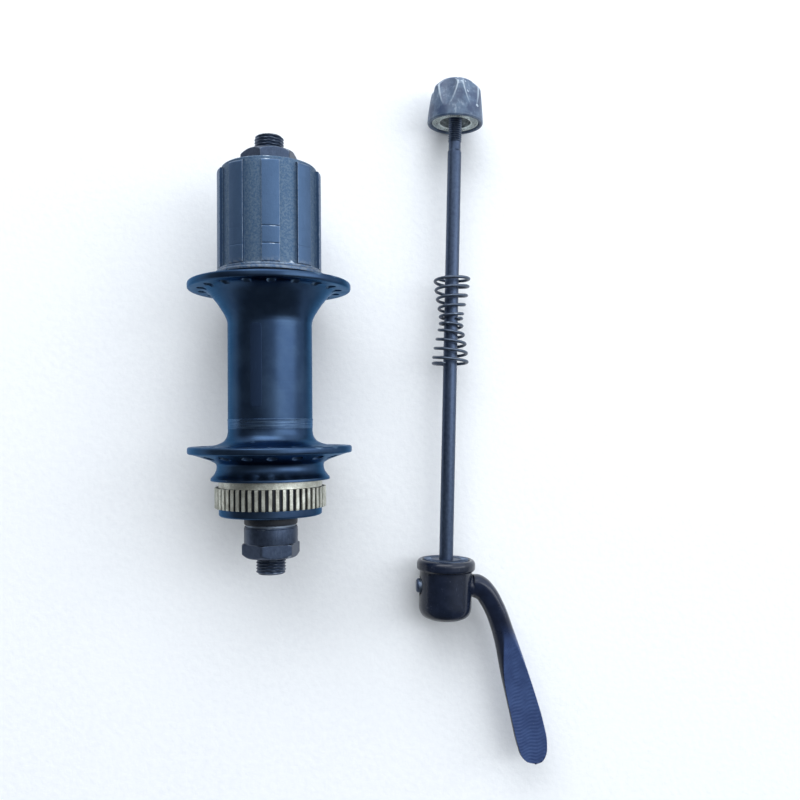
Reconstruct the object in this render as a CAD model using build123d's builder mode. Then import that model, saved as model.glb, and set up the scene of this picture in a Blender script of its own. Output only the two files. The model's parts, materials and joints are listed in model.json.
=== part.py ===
from build123d import *
import os
from math import atan2, cos, degrees, pi, radians, sin

# Rear bicycle hub with its freehub, and its quick-release skewer drawn out and laid beside it.
# Millimetres. The hub axis is +Y with the driven end at +Y, the origin is the middle of the axle,
# and +Z is up. The hub rests on its two spoke flanges and the skewer lies at its +X side.

# Axle and locknuts
over_locknuts = 135.0
axle_stickout = 5.5
axle_r = 5.0
axle_end_r = axle_r - 0.05
axle_waist_r = axle_r - 0.45
axle_bore_r = 2.65
axle_chamfer = 0.6
bore_chamfer = 0.4
hex_flats = 17.0
hex_turn = 16.0
drive_nut_t = 5.8
drive_washer_t = 1.2
drive_washer_r = 8.6
rotor_nut_t = 4.6
rotor_spacer_t = 5.6
rotor_spacer_r = 8.85
rotor_washer_t = 0.45
rotor_washer_r = 8.2
rotor_seal_r = 8.8
rotor_seal_w = 2.8

# Wheel bearings
ball_r = 3.175
ball_count = 9
ball_pitch_r = 9.6
cone_body_r = 8.1
cone_small_r = axle_r + 1.1
cone_big_r = 9.0
drive_cone_body = 5.3
rotor_cone_body = 9.25

# Freehub bearings, ratchet and pawls
small_ball_r = 1.5875
small_ball_count = 25
small_pitch_r = 13.0
tooth_count = 24
tooth_depth = 1.3
tooth_face_past_tip = 3.1
pawl_pivot_r = 10.6
pawl_heel_r = 1.5
pawl_reach = 7.0
pawl_width = 5.2
pawl_open = 16.0
pawl_from_row = 3.2

# Freehub body
freehub_setback = 5.8
freehub_length = 36.4
spline_crest_r = 17.25
spline_floor_r = 15.95
spline_count = 9
spline_groove_w = 6.2
narrow_groove_w = 4.2
narrow_groove_index = 4
first_groove_angle = -65.0
spline_base = 2.1
end_ring_w = 1.3
end_ring_below_floor = 0.05
base_flare_r = 18.4
lockring_bore_r = 15.1
end_bevel = 0.45

# Shell
flange_r = 27.0
flange_t = 2.4
flange_round = 0.8
tube_r = 13.95
tube_wall = 2.9
spoke_pitch_r = 22.5
spoke_count = 18
spoke_hole_r = 1.3
first_spoke_angle = -85.0
drive_flange_gap = 2.0
socket_depth = 8.3
web_t = 7.0
boss_r = 19.0
boss_rise = 0.3
neck_r = 17.45
collar_r = 19.6
sleeve_r = 15.95
rotor_flange_from_balls = 15.5
collar_from_balls = 5.6
drive_key_count = 8

# Rotor mount
rotor_tooth_count = 52
rotor_crest_r = 18.3
rotor_groove_depth = 0.9
rotor_groove_w = 0.95
rotor_collar_r = 17.0
rotor_collar_w = 2.2
rotor_spline_w = 6.7
thread_ring_w = 2.6
thread_ring_r = 16.9
thread_ring_bore_r = 15.0

# Skewer
rod_r = 2.5
rod_neck_r = rod_r - 0.3
skewer_x = 63.42
skewer_yaw = -1.91
cup_past_face = 5.1
nut_past_face = 17.8
cup_rim_r = 10.46
cup_rim_w = 3.7
cup_body_r = 9.4
cup_length = 21.0
cup_round = 4.5
cup_bore_r = 4.75
washer_r = 8.0
washer_t = 1.2
serration_count = 36
pivot_depth = 9.4
cam_offset = 0.7
cam_r = 2.4
cam_play = 0.25
near_journal_r = 4.1
far_journal_r = 2.2
end_cap_r = 2.5
end_cap_recess_r = 3.5
eye_half_w = 3.4
nut_r = 10.14
nut_length = 16.0
nut_crown_r = 7.9
nut_pocket_d = 4.0
nut_ring_r = 8.44
nut_ring_t = 3.0
nut_ring_sink = 0.6
insert_length = 8.0
insert_flats = 10.0
rod_in_insert = 6.3
scallop_count = 6
wire_r = 0.55
spring_wide_r = 6.15
spring_narrow_r = 3.6
spring_length = 15.0
spring_turns = 5
spring_gap = 1.5
spring_middle_y = 13.25
lever_reach = 62.9
lever_out = 27.8
lever_tip_thickness = 4.0

# Clearances
thread_gap = 0.02
seat_gap = 0.05
running_gap = 0.08
loose_gap = 0.3

# Stations along the hub, worked inwards from each locknut face
drive_face = over_locknuts / 2
drive_nut_in = drive_face - drive_nut_t
drive_cone_out = drive_nut_in - drive_washer_t
drive_ball_y = drive_cone_out - drive_cone_body
race_r = ball_r + running_gap
small_race_r = small_ball_r + running_gap
freehub_out = drive_face - freehub_setback
freehub_in = freehub_out - freehub_length
outer_row_y = drive_ball_y - ball_r - small_ball_r + 0.35
inner_row_y = freehub_in + 2 * small_ball_r + loose_gap
drive_flange_y = freehub_in - drive_flange_gap - flange_t / 2
boss_out = drive_flange_y + flange_t / 2 + boss_rise
socket_in = boss_out - boss_rise - socket_depth
web_in = socket_in - web_t
rotor_face = -over_locknuts / 2
rotor_nut_in = rotor_face + rotor_nut_t
rotor_spacer_in = rotor_nut_in + rotor_spacer_t
rotor_cone_out = rotor_spacer_in + rotor_washer_t
rotor_ball_y = rotor_cone_out + rotor_cone_body
rotor_flange_y = rotor_ball_y + rotor_flange_from_balls
collar_y = rotor_ball_y + collar_from_balls
spline_ring_out = collar_y - seat_gap - rotor_collar_w - rotor_spline_w
thread_ring_in = spline_ring_out - seat_gap
thread_ring_out = thread_ring_in - thread_ring_w
axle_half = over_locknuts / 2 + axle_stickout

# The freehub's inside
barrel_r = small_pitch_r - 0.6
pawl_tip_r = pawl_pivot_r - 0.65
bearing_bore_r = small_pitch_r + 0.7
tooth_crest_r = barrel_r + 0.55
tooth_root_r = tooth_crest_r + tooth_depth
row_grip = small_race_r + 0.15
pawl_in = inner_row_y + pawl_from_row
pawl_out = pawl_in + pawl_width
core_out = outer_row_y - small_race_r
core_bore_r = pawl_pivot_r - pawl_heel_r - 0.8
core_key_r = barrel_r
core_root_r = core_key_r - 1.1
bolt_head_r = core_bore_r - seat_gap
bolt_shank_r = bolt_head_r - 1.2
bolt_hex_flats = 2 * (axle_waist_r + 0.5)
bolt_seat_y = boss_out - 2.9
cup_wall_r = ball_pitch_r + race_r + 0.75
cup_tail_r = core_bore_r + 2.0
mouth_r = ball_pitch_r + race_r
drive_cup_out = drive_ball_y + ball_r + 1.15

# The skewer's own frame: x across it, y along it towards its nut
floor_z = -flange_r
skewer_z = floor_z + cup_rim_r
yaw = radians(skewer_yaw)
bench = Plane(origin=(skewer_x, 0, skewer_z), x_dir=(cos(yaw), sin(yaw), 0), z_dir=(0, 0, 1))
rod_axis = Axis(bench.origin, bench.y_dir)
cup_top = -(drive_face + cup_past_face)
cup_end = cup_top - cup_length
pivot_y = cup_top - pivot_depth
arm_start = cup_body_r + loose_gap + 0.2
nut_face = drive_face + nut_past_face
nut_top = nut_face + nut_length
insert_in = nut_face + nut_pocket_d
insert_out = insert_in + insert_length
rod_end = insert_in + rod_in_insert
eye_r = cup_bore_r - loose_gap
cam_half_w = eye_half_w + 0.1
journal_end = cup_body_r - 0.9

os.makedirs("parts", exist_ok=True)


def save(piece, name):
    """Label a finished piece and write its STEP file."""
    piece.part.label = name
    export_step(piece.part, f"parts/{name}.step")


def across(y, turn=0.0):
    """Plane square to the hub axis at station y, turned about it and facing the driven end."""
    x_dir = (cos(radians(turn)), 0, -sin(radians(turn)))
    return Plane(origin=(0, y, 0), x_dir=x_dir, z_dir=(0, 1, 0))


def across_rod(y):
    """Plane square to the skewer rod at its own station y, facing the nut."""
    return Plane(origin=bench.from_local_coords((0, y, 0)), x_dir=bench.x_dir, z_dir=bench.y_dir)


def along_pivot(x, z=0.0):
    """Plane square to the lever's pivot at x across the skewer, facing the lever arm."""
    origin = bench.from_local_coords((x, pivot_y, z))
    return Plane(origin=origin, x_dir=bench.z_dir, z_dir=bench.x_dir)


def from_pivot(*points):
    """Points on the bench plane from offsets counted from the root of the lever arm."""
    return [(arm_start + x, pivot_y + y) for x, y in points]


def turned(points, plane=Plane.XY, axis=Axis.Y, mode=Mode.ADD):
    """Turn an outline of (radius, station) points about an axis."""
    with BuildSketch(plane) as outline:
        with BuildLine():
            Polyline(*points, close=True)
        make_face()
    revolve(outline.sketch, axis=axis, mode=mode)


def ring(inner, outer, low, high):
    """Outline of a plain ring."""
    return [(inner, low), (outer, low), (outer, high), (inner, high)]


def turned_on_rod(points, mode=Mode.ADD):
    """Turn an outline about the skewer rod."""
    turned(points, bench, rod_axis, mode)


def race(radius, station, groove_r):
    """Cut a ball groove about the hub axis."""
    with BuildSketch(Plane.XY) as groove:
        with Locations((radius, station)):
            Circle(groove_r)
    revolve(groove.sketch, axis=Axis.Y, mode=Mode.SUBTRACT)


def bevelled_hex(low, thick, bevel_low, bevel_high):
    """Hexagon locknut on the axle, with the corners bevelled by a cone at either face."""
    flat_r = hex_flats / 2
    corner_r = flat_r / cos(pi / 6)
    drop = (corner_r - flat_r) * 0.8
    with BuildSketch(across(low)) as hexagon:
        RegularPolygon(flat_r, 6, major_radius=False, rotation=hex_turn)
        Circle(axle_r + thread_gap, mode=Mode.SUBTRACT)
    extrude(hexagon.sketch, amount=thick)
    high = low + thick
    slope = drop * 1.4
    cone = [(0, low)]
    if bevel_low:
        cone += [(corner_r - slope, low), (corner_r, low + drop)]
    else:
        cone += [(corner_r, low)]
    if bevel_high:
        cone += [(corner_r, high - drop), (corner_r - slope, high)]
    else:
        cone += [(corner_r, high)]
    cone += [(0, high)]
    turned(cone, mode=Mode.INTERSECT)


# ---------------------------------------------------------------- axle set

with BuildPart() as axle:
    waist_out = drive_ball_y - ball_r - 2.5
    waist_in = rotor_ball_y + ball_r + 2.5
    shoulder = axle_r - axle_waist_r
    turned([
        (0, -axle_half),
        (axle_end_r - axle_chamfer, -axle_half),
        (axle_end_r, -axle_half + axle_chamfer),
        (axle_end_r, rotor_face),
        (axle_r, rotor_face),
        (axle_r, waist_in),
        (axle_waist_r, waist_in + shoulder),
        (axle_waist_r, waist_out - shoulder),
        (axle_r, waist_out),
        (axle_r, drive_face),
        (axle_end_r, drive_face),
        (axle_end_r, axle_half - axle_chamfer),
        (axle_end_r - axle_chamfer, axle_half),
        (0, axle_half),
    ])
    mouth = axle_bore_r + bore_chamfer
    turned([
        (0, -axle_half),
        (mouth, -axle_half),
        (axle_bore_r, -axle_half + bore_chamfer),
        (axle_bore_r, axle_half - bore_chamfer),
        (mouth, axle_half),
        (0, axle_half),
    ], mode=Mode.SUBTRACT)
save(axle, "axle")

thread_r = axle_r + thread_gap

with BuildPart() as drive_locknut:
    bevelled_hex(drive_nut_in, drive_nut_t, False, True)
save(drive_locknut, "drive_locknut")

with BuildPart() as drive_washer:
    turned(ring(thread_r, drive_washer_r, drive_cone_out, drive_nut_in))
save(drive_washer, "drive_washer")

with BuildPart() as drive_cone:
    small_y = drive_ball_y - ball_r
    big_y = drive_ball_y + ball_r
    turned([
        (thread_r, small_y),
        (cone_small_r, small_y),
        (cone_big_r, big_y - 0.2),
        (cone_big_r, big_y + 0.6),
        (cone_body_r, big_y + 1.1),
        (cone_body_r, drive_cone_out),
        (thread_r, drive_cone_out),
    ])
    race(ball_pitch_r, drive_ball_y, race_r)
save(drive_cone, "drive_cone")

with BuildPart() as rotor_cone:
    small_y = rotor_ball_y + ball_r
    big_y = rotor_ball_y - ball_r
    turned([
        (thread_r, small_y),
        (cone_small_r, small_y),
        (cone_big_r, big_y + 0.2),
        (cone_big_r, big_y - 0.6),
        (cone_body_r, big_y - 1.1),
        (cone_body_r, rotor_cone_out),
        (thread_r, rotor_cone_out),
    ])
    race(ball_pitch_r, rotor_ball_y, race_r)
save(rotor_cone, "rotor_cone")

with BuildPart() as rotor_cone_seal:
    seal_out = rotor_cone_out + 0.15
    turned(ring(cone_body_r + thread_gap, rotor_seal_r, seal_out, seal_out + rotor_seal_w))
save(rotor_cone_seal, "rotor_cone_seal")

with BuildPart() as rotor_washer:
    turned(ring(thread_r, rotor_washer_r, rotor_spacer_in, rotor_cone_out))
save(rotor_washer, "rotor_washer")

with BuildPart() as rotor_spacer:
    turned(ring(thread_r, rotor_spacer_r, rotor_nut_in, rotor_spacer_in))
    chamfer(rotor_spacer.edges().filter_by(GeomType.CIRCLE).sort_by(SortBy.RADIUS)[-2:], 0.3)
save(rotor_spacer, "rotor_spacer")

with BuildPart() as rotor_locknut:
    bevelled_hex(rotor_face, rotor_nut_t, True, False)
save(rotor_locknut, "rotor_locknut")

# ---------------------------------------------------------------- shell and what is fixed in it

bore_r = tube_r - tube_wall
cup_out_r = cup_wall_r + 0.3
cup_pocket_in = rotor_ball_y + ball_r + 1.0
nose_end = thread_ring_in


def flange(y, toward_tube):
    """Rim of a spoke flange centred at y, as points from its outer face to the face by the tube."""
    half = flange_t / 2
    side = toward_tube * half
    return [
        (flange_r - flange_round, y - side),
        (flange_r, y - side + toward_tube * flange_round),
        (flange_r, y + side - toward_tube * flange_round),
        (flange_r - flange_round, y + side),
    ]


with BuildPart() as hub_shell:
    drive_half = drive_flange_y - flange_t / 2
    rotor_half = rotor_flange_y + flange_t / 2
    rotor_back = rotor_flange_y - flange_t / 2
    flare_start = (tube_r, drive_half - 12.5)
    fillet_start = (tube_r, rotor_half + 4.6)
    with BuildSketch(Plane.XY):
        with BuildLine():
            Polyline((0, nose_end), (sleeve_r, nose_end), (sleeve_r, collar_y), (collar_r, collar_y))
            Line((collar_r, collar_y), (collar_r - 0.1, collar_y + 0.7))
            neck_end = (neck_r + 2.5, rotor_back - 1.2)
            neck_top = (flange_r - 4.0, rotor_back)
            Spline((collar_r - 0.1, collar_y + 0.7), (neck_r, collar_y + 4.9), neck_end, neck_top)
            Polyline(neck_top, *flange(rotor_flange_y, 1))
            fillet_end = (tube_r + 7.0, rotor_half)
            Line((flange_r - flange_round, rotor_half), fillet_end)
            Spline(fillet_end, (tube_r + 1.1, rotor_half + 1.6), fillet_start,
                   tangents=[(-1, 0.12), (0, 1)])
            Line(fillet_start, flare_start)
            flare_end = (tube_r + 8.2, drive_half)
            edge = (tube_r + 1.2, drive_half - 9.0)
            Spline(flare_start, edge, tangents=[(0, 1), (0.5, 1)])
            Spline(edge, (tube_r + 3.6, drive_half - 4.5), flare_end, tangents=[(0.55, 1), (1, 0.2)])
            Line(flare_end, (flange_r - flange_round, drive_half))
            Polyline(*flange(drive_flange_y, -1)[::-1])
            Polyline((flange_r - flange_round, drive_flange_y + flange_t / 2),
                     (boss_r, drive_flange_y + flange_t / 2), (boss_r - 0.6, boss_out),
                     (0, boss_out), (0, nose_end))
        make_face()
    revolve(axis=Axis.Y)
    cavity_end = cup_pocket_in + 1.5
    turned(ring(0, bore_r, cavity_end, web_in), mode=Mode.SUBTRACT)
    turned(ring(0, mouth_r - 2.0, nose_end, cavity_end), mode=Mode.SUBTRACT)
    turned(ring(0, cup_out_r + seat_gap, nose_end, cup_pocket_in), mode=Mode.SUBTRACT)
    turned(ring(0, bolt_shank_r + seat_gap, web_in, socket_in), mode=Mode.SUBTRACT)
    with BuildSketch(across(socket_in)):
        Circle(core_root_r + 2 * seat_gap)
        with PolarLocations(core_root_r, drive_key_count):
            Rectangle(2 * (core_key_r - core_root_r + 2 * seat_gap), 3.2)
    extrude(amount=boss_out - socket_in, mode=Mode.SUBTRACT)
    for y in (drive_flange_y, rotor_flange_y):
        with BuildSketch(across(y)):
            with PolarLocations(spoke_pitch_r, spoke_count, start_angle=first_spoke_angle):
                Circle(spoke_hole_r)
        extrude(amount=flange_t, both=True, mode=Mode.SUBTRACT)
save(hub_shell, "hub_shell")

with BuildPart() as rotor_spline_ring:
    ring_in = collar_y - seat_gap
    tooth_in = ring_in - rotor_collar_w
    turned([
        (sleeve_r + seat_gap, ring_in),
        (rotor_collar_r, ring_in),
        (rotor_collar_r, tooth_in),
        (rotor_crest_r, tooth_in),
        (rotor_crest_r, spline_ring_out + 0.3),
        (rotor_crest_r - 0.3, spline_ring_out),
        (sleeve_r + seat_gap, spline_ring_out),
    ])
    with BuildSketch(across(spline_ring_out)):
        with PolarLocations(rotor_crest_r, rotor_tooth_count):
            Rectangle(2 * rotor_groove_depth, rotor_groove_w)
    extrude(amount=rotor_spline_w, mode=Mode.SUBTRACT)
save(rotor_spline_ring, "rotor_spline_ring")

with BuildPart() as rotor_thread_ring:
    turned([
        (thread_ring_bore_r, thread_ring_in),
        (thread_ring_r, thread_ring_in),
        (thread_ring_r, thread_ring_out + 0.5),
        (thread_ring_r - 0.5, thread_ring_out),
        (thread_ring_bore_r + 0.3, thread_ring_out),
        (thread_ring_bore_r, thread_ring_out + 0.3),
    ])
save(rotor_thread_ring, "rotor_thread_ring")

with BuildPart() as rotor_bearing_cup:
    cup_in = cup_pocket_in - seat_gap
    cup_mouth = thread_ring_in + seat_gap
    turned(ring(mouth_r - 5.2, cup_out_r, cup_mouth, cup_in))
    turned(ring(0, mouth_r, cup_mouth, rotor_ball_y), mode=Mode.SUBTRACT)
    race(ball_pitch_r, rotor_ball_y, race_r)
save(rotor_bearing_cup, "rotor_bearing_cup")

cap_bore_r = cone_big_r + loose_gap

with BuildPart() as rotor_dust_cap:
    cap_in = thread_ring_in - seat_gap
    turned([
        (cap_bore_r, cap_in),
        (thread_ring_bore_r - seat_gap, cap_in),
        (thread_ring_bore_r - seat_gap, cap_in - 0.9),
        (cap_bore_r + 1.4, cap_in - 0.9),
        (cap_bore_r, cap_in - 1.3),
    ])
save(rotor_dust_cap, "rotor_dust_cap")

with BuildPart() as freehub_bolt:
    bolt_in = web_in + 0.3
    turned(ring(0, bolt_shank_r, bolt_in, bolt_seat_y))
    turned(ring(0, bolt_head_r, bolt_seat_y, bolt_seat_y + 3.4))
    with BuildSketch(across(bolt_in)):
        RegularPolygon(bolt_hex_flats / 2, 6, major_radius=False)
    extrude(amount=bolt_seat_y + 3.4 - bolt_in, mode=Mode.SUBTRACT)
save(freehub_bolt, "freehub_bolt")


pawl_turns = (0.0, 180.0)

with BuildPart() as freehub_core:
    tail_in = socket_in + 0.2
    turned(ring(0, barrel_r, boss_out, core_out))
    with BuildSketch(across(tail_in)):
        Circle(core_root_r)
        with PolarLocations(core_root_r, drive_key_count):
            Rectangle(2 * (core_key_r - core_root_r), 3.0)
        Circle(barrel_r, mode=Mode.INTERSECT)
    extrude(amount=boss_out - tail_in)
    turned(ring(0, bolt_shank_r + seat_gap, tail_in, bolt_seat_y), mode=Mode.SUBTRACT)
    turned(ring(0, core_bore_r, bolt_seat_y, core_out), mode=Mode.SUBTRACT)
    turned(ring(0, cup_tail_r + seat_gap, core_out - 5.6, core_out), mode=Mode.SUBTRACT)
    race(small_pitch_r, inner_row_y, small_race_r)
    for turn in pawl_turns:
        with BuildSketch(across(pawl_in - loose_gap, turn)):
            with Locations((pawl_pivot_r, 0)):
                Circle(pawl_heel_r + loose_gap)
            floor_x = core_bore_r + 0.45
            with BuildLine():
                Polyline((floor_x, 0), (floor_x, pawl_reach + 0.9), (barrel_r + 2, pawl_reach + 0.9),
                         (barrel_r + 2, 0), close=True)
            make_face()
        extrude(amount=pawl_width + 2 * loose_gap, mode=Mode.SUBTRACT)
save(freehub_core, "freehub_core")

for turn, name in zip(pawl_turns, ("pawl_a", "pawl_b")):
    with BuildPart() as pawl:
        with BuildSketch(across(pawl_in, turn)):
            with Locations((pawl_pivot_r, 0)):
                Circle(pawl_heel_r)
            heel_out = pawl_pivot_r + pawl_heel_r - 0.05
            heel_in = pawl_pivot_r - pawl_heel_r + 0.2
            with BuildLine():
                Polyline((heel_out, 0.3), (pawl_tip_r, pawl_reach), (pawl_tip_r - 1, pawl_reach - 0.4),
                         (heel_in, 0.2), close=True)
            make_face()
        extrude(amount=pawl_width)
    save(pawl, name)

with BuildPart() as pawl_springs:
    for turn in pawl_turns:
        with BuildSketch(across(pawl_in + pawl_width * 0.3, turn)):
            leaf_in = core_bore_r + 0.45 + thread_gap
            with BuildLine():
                Polyline((leaf_in, 3.6), (leaf_in, pawl_reach - 0.6), (leaf_in + 0.1, pawl_reach - 0.6),
                         (leaf_in + 0.1, 3.6), close=True)
            make_face()
        extrude(amount=pawl_width * 0.4)
save(pawl_springs, "pawl_springs")

with BuildPart() as drive_bearing_cup:
    collar_in = core_out + seat_gap
    lip_in = outer_row_y + row_grip + 0.75
    turned([
        (core_bore_r, core_out - 5.4),
        (cup_tail_r, core_out - 5.4),
        (cup_tail_r, collar_in),
        (barrel_r, collar_in),
        (barrel_r, lip_in),
        (cup_wall_r, lip_in),
        (cup_wall_r, drive_cup_out),
        (mouth_r, drive_cup_out),
        (mouth_r, drive_ball_y),
        (core_bore_r, drive_ball_y),
    ])
    race(ball_pitch_r, drive_ball_y, race_r)
    race(small_pitch_r, outer_row_y, small_race_r)
save(drive_bearing_cup, "drive_bearing_cup")

with BuildPart() as drive_dust_cap:
    turned(ring(cap_bore_r, mouth_r - seat_gap, drive_cup_out - 0.9, drive_cup_out - 0.1))
save(drive_dust_cap, "drive_dust_cap")

# ---------------------------------------------------------------- freehub body

tip_x = pawl_tip_r - pawl_pivot_r
open_turn = radians(pawl_open)
open_x = pawl_pivot_r + tip_x * cos(open_turn) + pawl_reach * sin(open_turn)
open_y = pawl_reach * cos(open_turn) - tip_x * sin(open_turn)
tooth_phase = degrees(atan2(open_y, open_x)) + tooth_face_past_tip

with BuildPart() as freehub_body:
    spline_in = freehub_in + spline_base
    outer_pocket_in = outer_row_y + row_grip + 0.4
    ratchet_in = pawl_in - 0.3
    ratchet_out = pawl_out + 0.3
    relief_r = tooth_root_r + 0.05
    land_out = freehub_out - end_ring_w
    end_ring_r = spline_floor_r - end_ring_below_floor
    turned([
        (bearing_bore_r, freehub_in),
        (base_flare_r, freehub_in),
        (base_flare_r, freehub_in + 0.9),
        (spline_crest_r, freehub_in + 1.5),
        (spline_crest_r, land_out - end_bevel),
        (spline_crest_r - end_bevel, land_out),
        (end_ring_r, land_out),
        (end_ring_r, freehub_out - 0.3),
        (end_ring_r - 0.3, freehub_out),
        (lockring_bore_r + 0.3, freehub_out),
        (lockring_bore_r, freehub_out - 0.3),
        (lockring_bore_r, outer_pocket_in),
        (bearing_bore_r, outer_pocket_in),
        (bearing_bore_r, outer_row_y - row_grip),
        (relief_r, outer_row_y - row_grip),
        (relief_r, inner_row_y + row_grip),
        (bearing_bore_r, inner_row_y + row_grip),
    ])
    race(small_pitch_r, outer_row_y, small_race_r)
    race(small_pitch_r, inner_row_y, small_race_r)
    with BuildSketch(across(ratchet_in)):
        Circle(relief_r + 0.2)
        pitch = 360 / tooth_count
        saw = []
        for tooth in range(tooth_count):
            start = tooth_phase + tooth * pitch
            for radius, angle in ((tooth_root_r, start), (tooth_crest_r, start), (tooth_crest_r, start + 2)):
                saw.append((radius * cos(radians(angle)), radius * sin(radians(angle))))
        with BuildLine():
            Polyline(*saw, close=True)
        make_face(mode=Mode.SUBTRACT)
    extrude(amount=ratchet_out - ratchet_in)
    for groove in range(spline_count):
        width = narrow_groove_w if groove == narrow_groove_index else spline_groove_w
        turn = first_groove_angle + groove * 360 / spline_count
        with BuildSketch(across(spline_in, turn)):
            with Locations((spline_crest_r, 0)):
                Rectangle(6, width)
            Circle(spline_floor_r, mode=Mode.SUBTRACT)
        extrude(amount=freehub_length, mode=Mode.SUBTRACT)
save(freehub_body, "freehub_body")

with BuildPart() as freehub_seal:
    turned(ring(barrel_r + 0.4, base_flare_r - 1.0, boss_out + loose_gap, freehub_in - seat_gap))
save(freehub_seal, "freehub_seal")

# ---------------------------------------------------------------- balls


def ball_row(count, pitch_r, y, radius):
    """A row of balls about the hub axis."""
    with Locations(across(y)):
        with PolarLocations(pitch_r, count):
            Sphere(radius)


rows = {
    "drive_balls": (ball_count, ball_pitch_r, drive_ball_y, ball_r),
    "rotor_balls": (ball_count, ball_pitch_r, rotor_ball_y, ball_r),
    "freehub_outer_balls": (small_ball_count, small_pitch_r, outer_row_y, small_ball_r),
    "freehub_inner_balls": (small_ball_count, small_pitch_r, inner_row_y, small_ball_r),
}
for name, row in rows.items():
    with BuildPart() as balls:
        ball_row(*row)
    save(balls, name)

# ---------------------------------------------------------------- skewer: rod, cup and lever

with BuildPart() as skewer_rod:
    neck_out = nut_face - 6.0
    turned_on_rod([
        (0, pivot_y),
        (rod_r, pivot_y),
        (rod_r, neck_out - 3.8),
        (rod_neck_r, neck_out - 3.5),
        (rod_neck_r, neck_out - 0.3),
        (rod_r, neck_out),
        (rod_r, rod_end - 0.5),
        (rod_r - 0.5, rod_end),
        (0, rod_end),
    ])
    eye_half_h = cam_r + cam_play + 2.0
    with BuildSketch(across_rod(pivot_y - eye_half_h)):
        Circle(eye_r)
        Rectangle(2 * eye_half_w, 2 * eye_r, mode=Mode.INTERSECT)
    extrude(amount=2 * eye_half_h)
    slot_r = cam_r + cam_play
    with BuildSketch(along_pivot(-eye_r)):
        with Locations((cam_offset / 2, 0)):
            SlotCenterToCenter(cam_offset, 2 * slot_r)
    extrude(amount=2 * eye_r, mode=Mode.SUBTRACT)
save(skewer_rod, "skewer_rod")

with BuildPart() as lever_cup:
    turned_on_rod([
        (0, cup_end),
        (cup_body_r, cup_end),
        (cup_body_r, cup_top - cup_rim_w),
        (cup_rim_r, cup_top - cup_rim_w),
        (cup_rim_r, cup_top),
        (0, cup_top),
    ])
    low = lever_cup.faces().filter_by(GeomType.PLANE).sort_by(Axis(bench.origin, bench.y_dir))[0]
    fillet(low.edges(), cup_round)
    high = lever_cup.faces().filter_by(GeomType.PLANE).sort_by(Axis(bench.origin, bench.y_dir))[-1]
    fillet(high.edges(), 0.7)
    cavity_end = pivot_y - cam_r - cam_play - 2.0 - cam_offset - loose_gap - 0.4
    turned_on_rod(ring(0, cup_bore_r, cavity_end, cup_top), mode=Mode.SUBTRACT)
    turned_on_rod(ring(0, washer_r + seat_gap, cup_top - washer_t - seat_gap, cup_top), mode=Mode.SUBTRACT)
    with BuildSketch(along_pivot(0)):
        Circle(near_journal_r + running_gap)
    extrude(amount=cup_rim_r, mode=Mode.SUBTRACT)
    with BuildSketch(along_pivot(-cup_rim_r)):
        Circle(far_journal_r + running_gap)
    extrude(amount=cup_rim_r, mode=Mode.SUBTRACT)
    with BuildSketch(along_pivot(-cup_rim_r)):
        Circle(end_cap_recess_r)
    extrude(amount=cup_rim_r - cup_body_r + 1.3, mode=Mode.SUBTRACT)
save(lever_cup, "lever_cup")

with BuildPart() as cup_serrated_washer:
    turned_on_rod(ring(rod_r + 0.1, washer_r, cup_top - washer_t, cup_top + 0.25))
    turned_on_rod(ring(0, washer_r - 3.2, cup_top - 0.1, cup_top + 1), mode=Mode.SUBTRACT)
    with BuildSketch(across_rod(cup_top - 0.05)):
        with PolarLocations(washer_r - 1.0, serration_count):
            Rectangle(4.6, 0.55)
    extrude(amount=1, mode=Mode.SUBTRACT)
save(cup_serrated_washer, "cup_serrated_washer")

with BuildPart() as quick_lever:
    half_t = near_journal_r
    outer = from_pivot((1.6, 4.0), (4.6, 2.6), (11.1, -5.8), (19.9, -28.7), (26.3, -47.8),
                       (lever_out, 5 - lever_reach))
    inner = from_pivot((lever_out - 10.3, 5 - lever_reach), (11.1, -32.9), (7.1, -15.9), (2.7, -6.4))
    top, bottom, tip = from_pivot((0, half_t), (0, -half_t), (lever_out - 4.6, -lever_reach))
    with BuildSketch(bench):
        with BuildLine():
            edge_out = Spline(top, *outer)
            edge_in = Spline(*inner, bottom)
            ThreePointArc(edge_out @ 1, tip, edge_in @ 0)
            Line(bottom, top)
        make_face()
    extrude(amount=half_t, both=True)
    side = Plane(origin=bench.origin, x_dir=bench.y_dir, z_dir=bench.x_dir)
    with BuildSketch(side):
        with BuildLine():
            root_y = pivot_y - half_t
            tip_y = pivot_y - lever_reach - 2
            tip_half = lever_tip_thickness / 2
            Polyline((pivot_y + 9, half_t), (root_y, half_t), (tip_y, tip_half), (tip_y, -tip_half),
                     (root_y, -half_t), (pivot_y + 9, -half_t), close=True)
        make_face()
    extrude(amount=arm_start + lever_out + 9, mode=Mode.INTERSECT)
    with BuildSketch(along_pivot(-journal_end)):
        Circle(far_journal_r)
    extrude(amount=journal_end - cam_half_w)
    with BuildSketch(along_pivot(-cam_half_w)):
        with Locations((cam_offset, 0)):
            Circle(cam_r)
    extrude(amount=2 * cam_half_w)
    with BuildSketch(along_pivot(cam_half_w)):
        Circle(near_journal_r)
    extrude(amount=arm_start + 0.6 - cam_half_w)
save(quick_lever, "quick_lever")

with BuildPart() as lever_end_cap:
    with BuildSketch(along_pivot(-cup_body_r - 1.2)):
        Circle(end_cap_r)
    extrude(amount=2.1 - seat_gap)
    outer = lever_end_cap.faces().filter_by(GeomType.PLANE).sort_by(Axis(bench.origin, bench.x_dir))[0]
    fillet(outer.edges(), 0.8)
save(lever_end_cap, "lever_end_cap")

# ---------------------------------------------------------------- skewer: nut and springs

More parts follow.
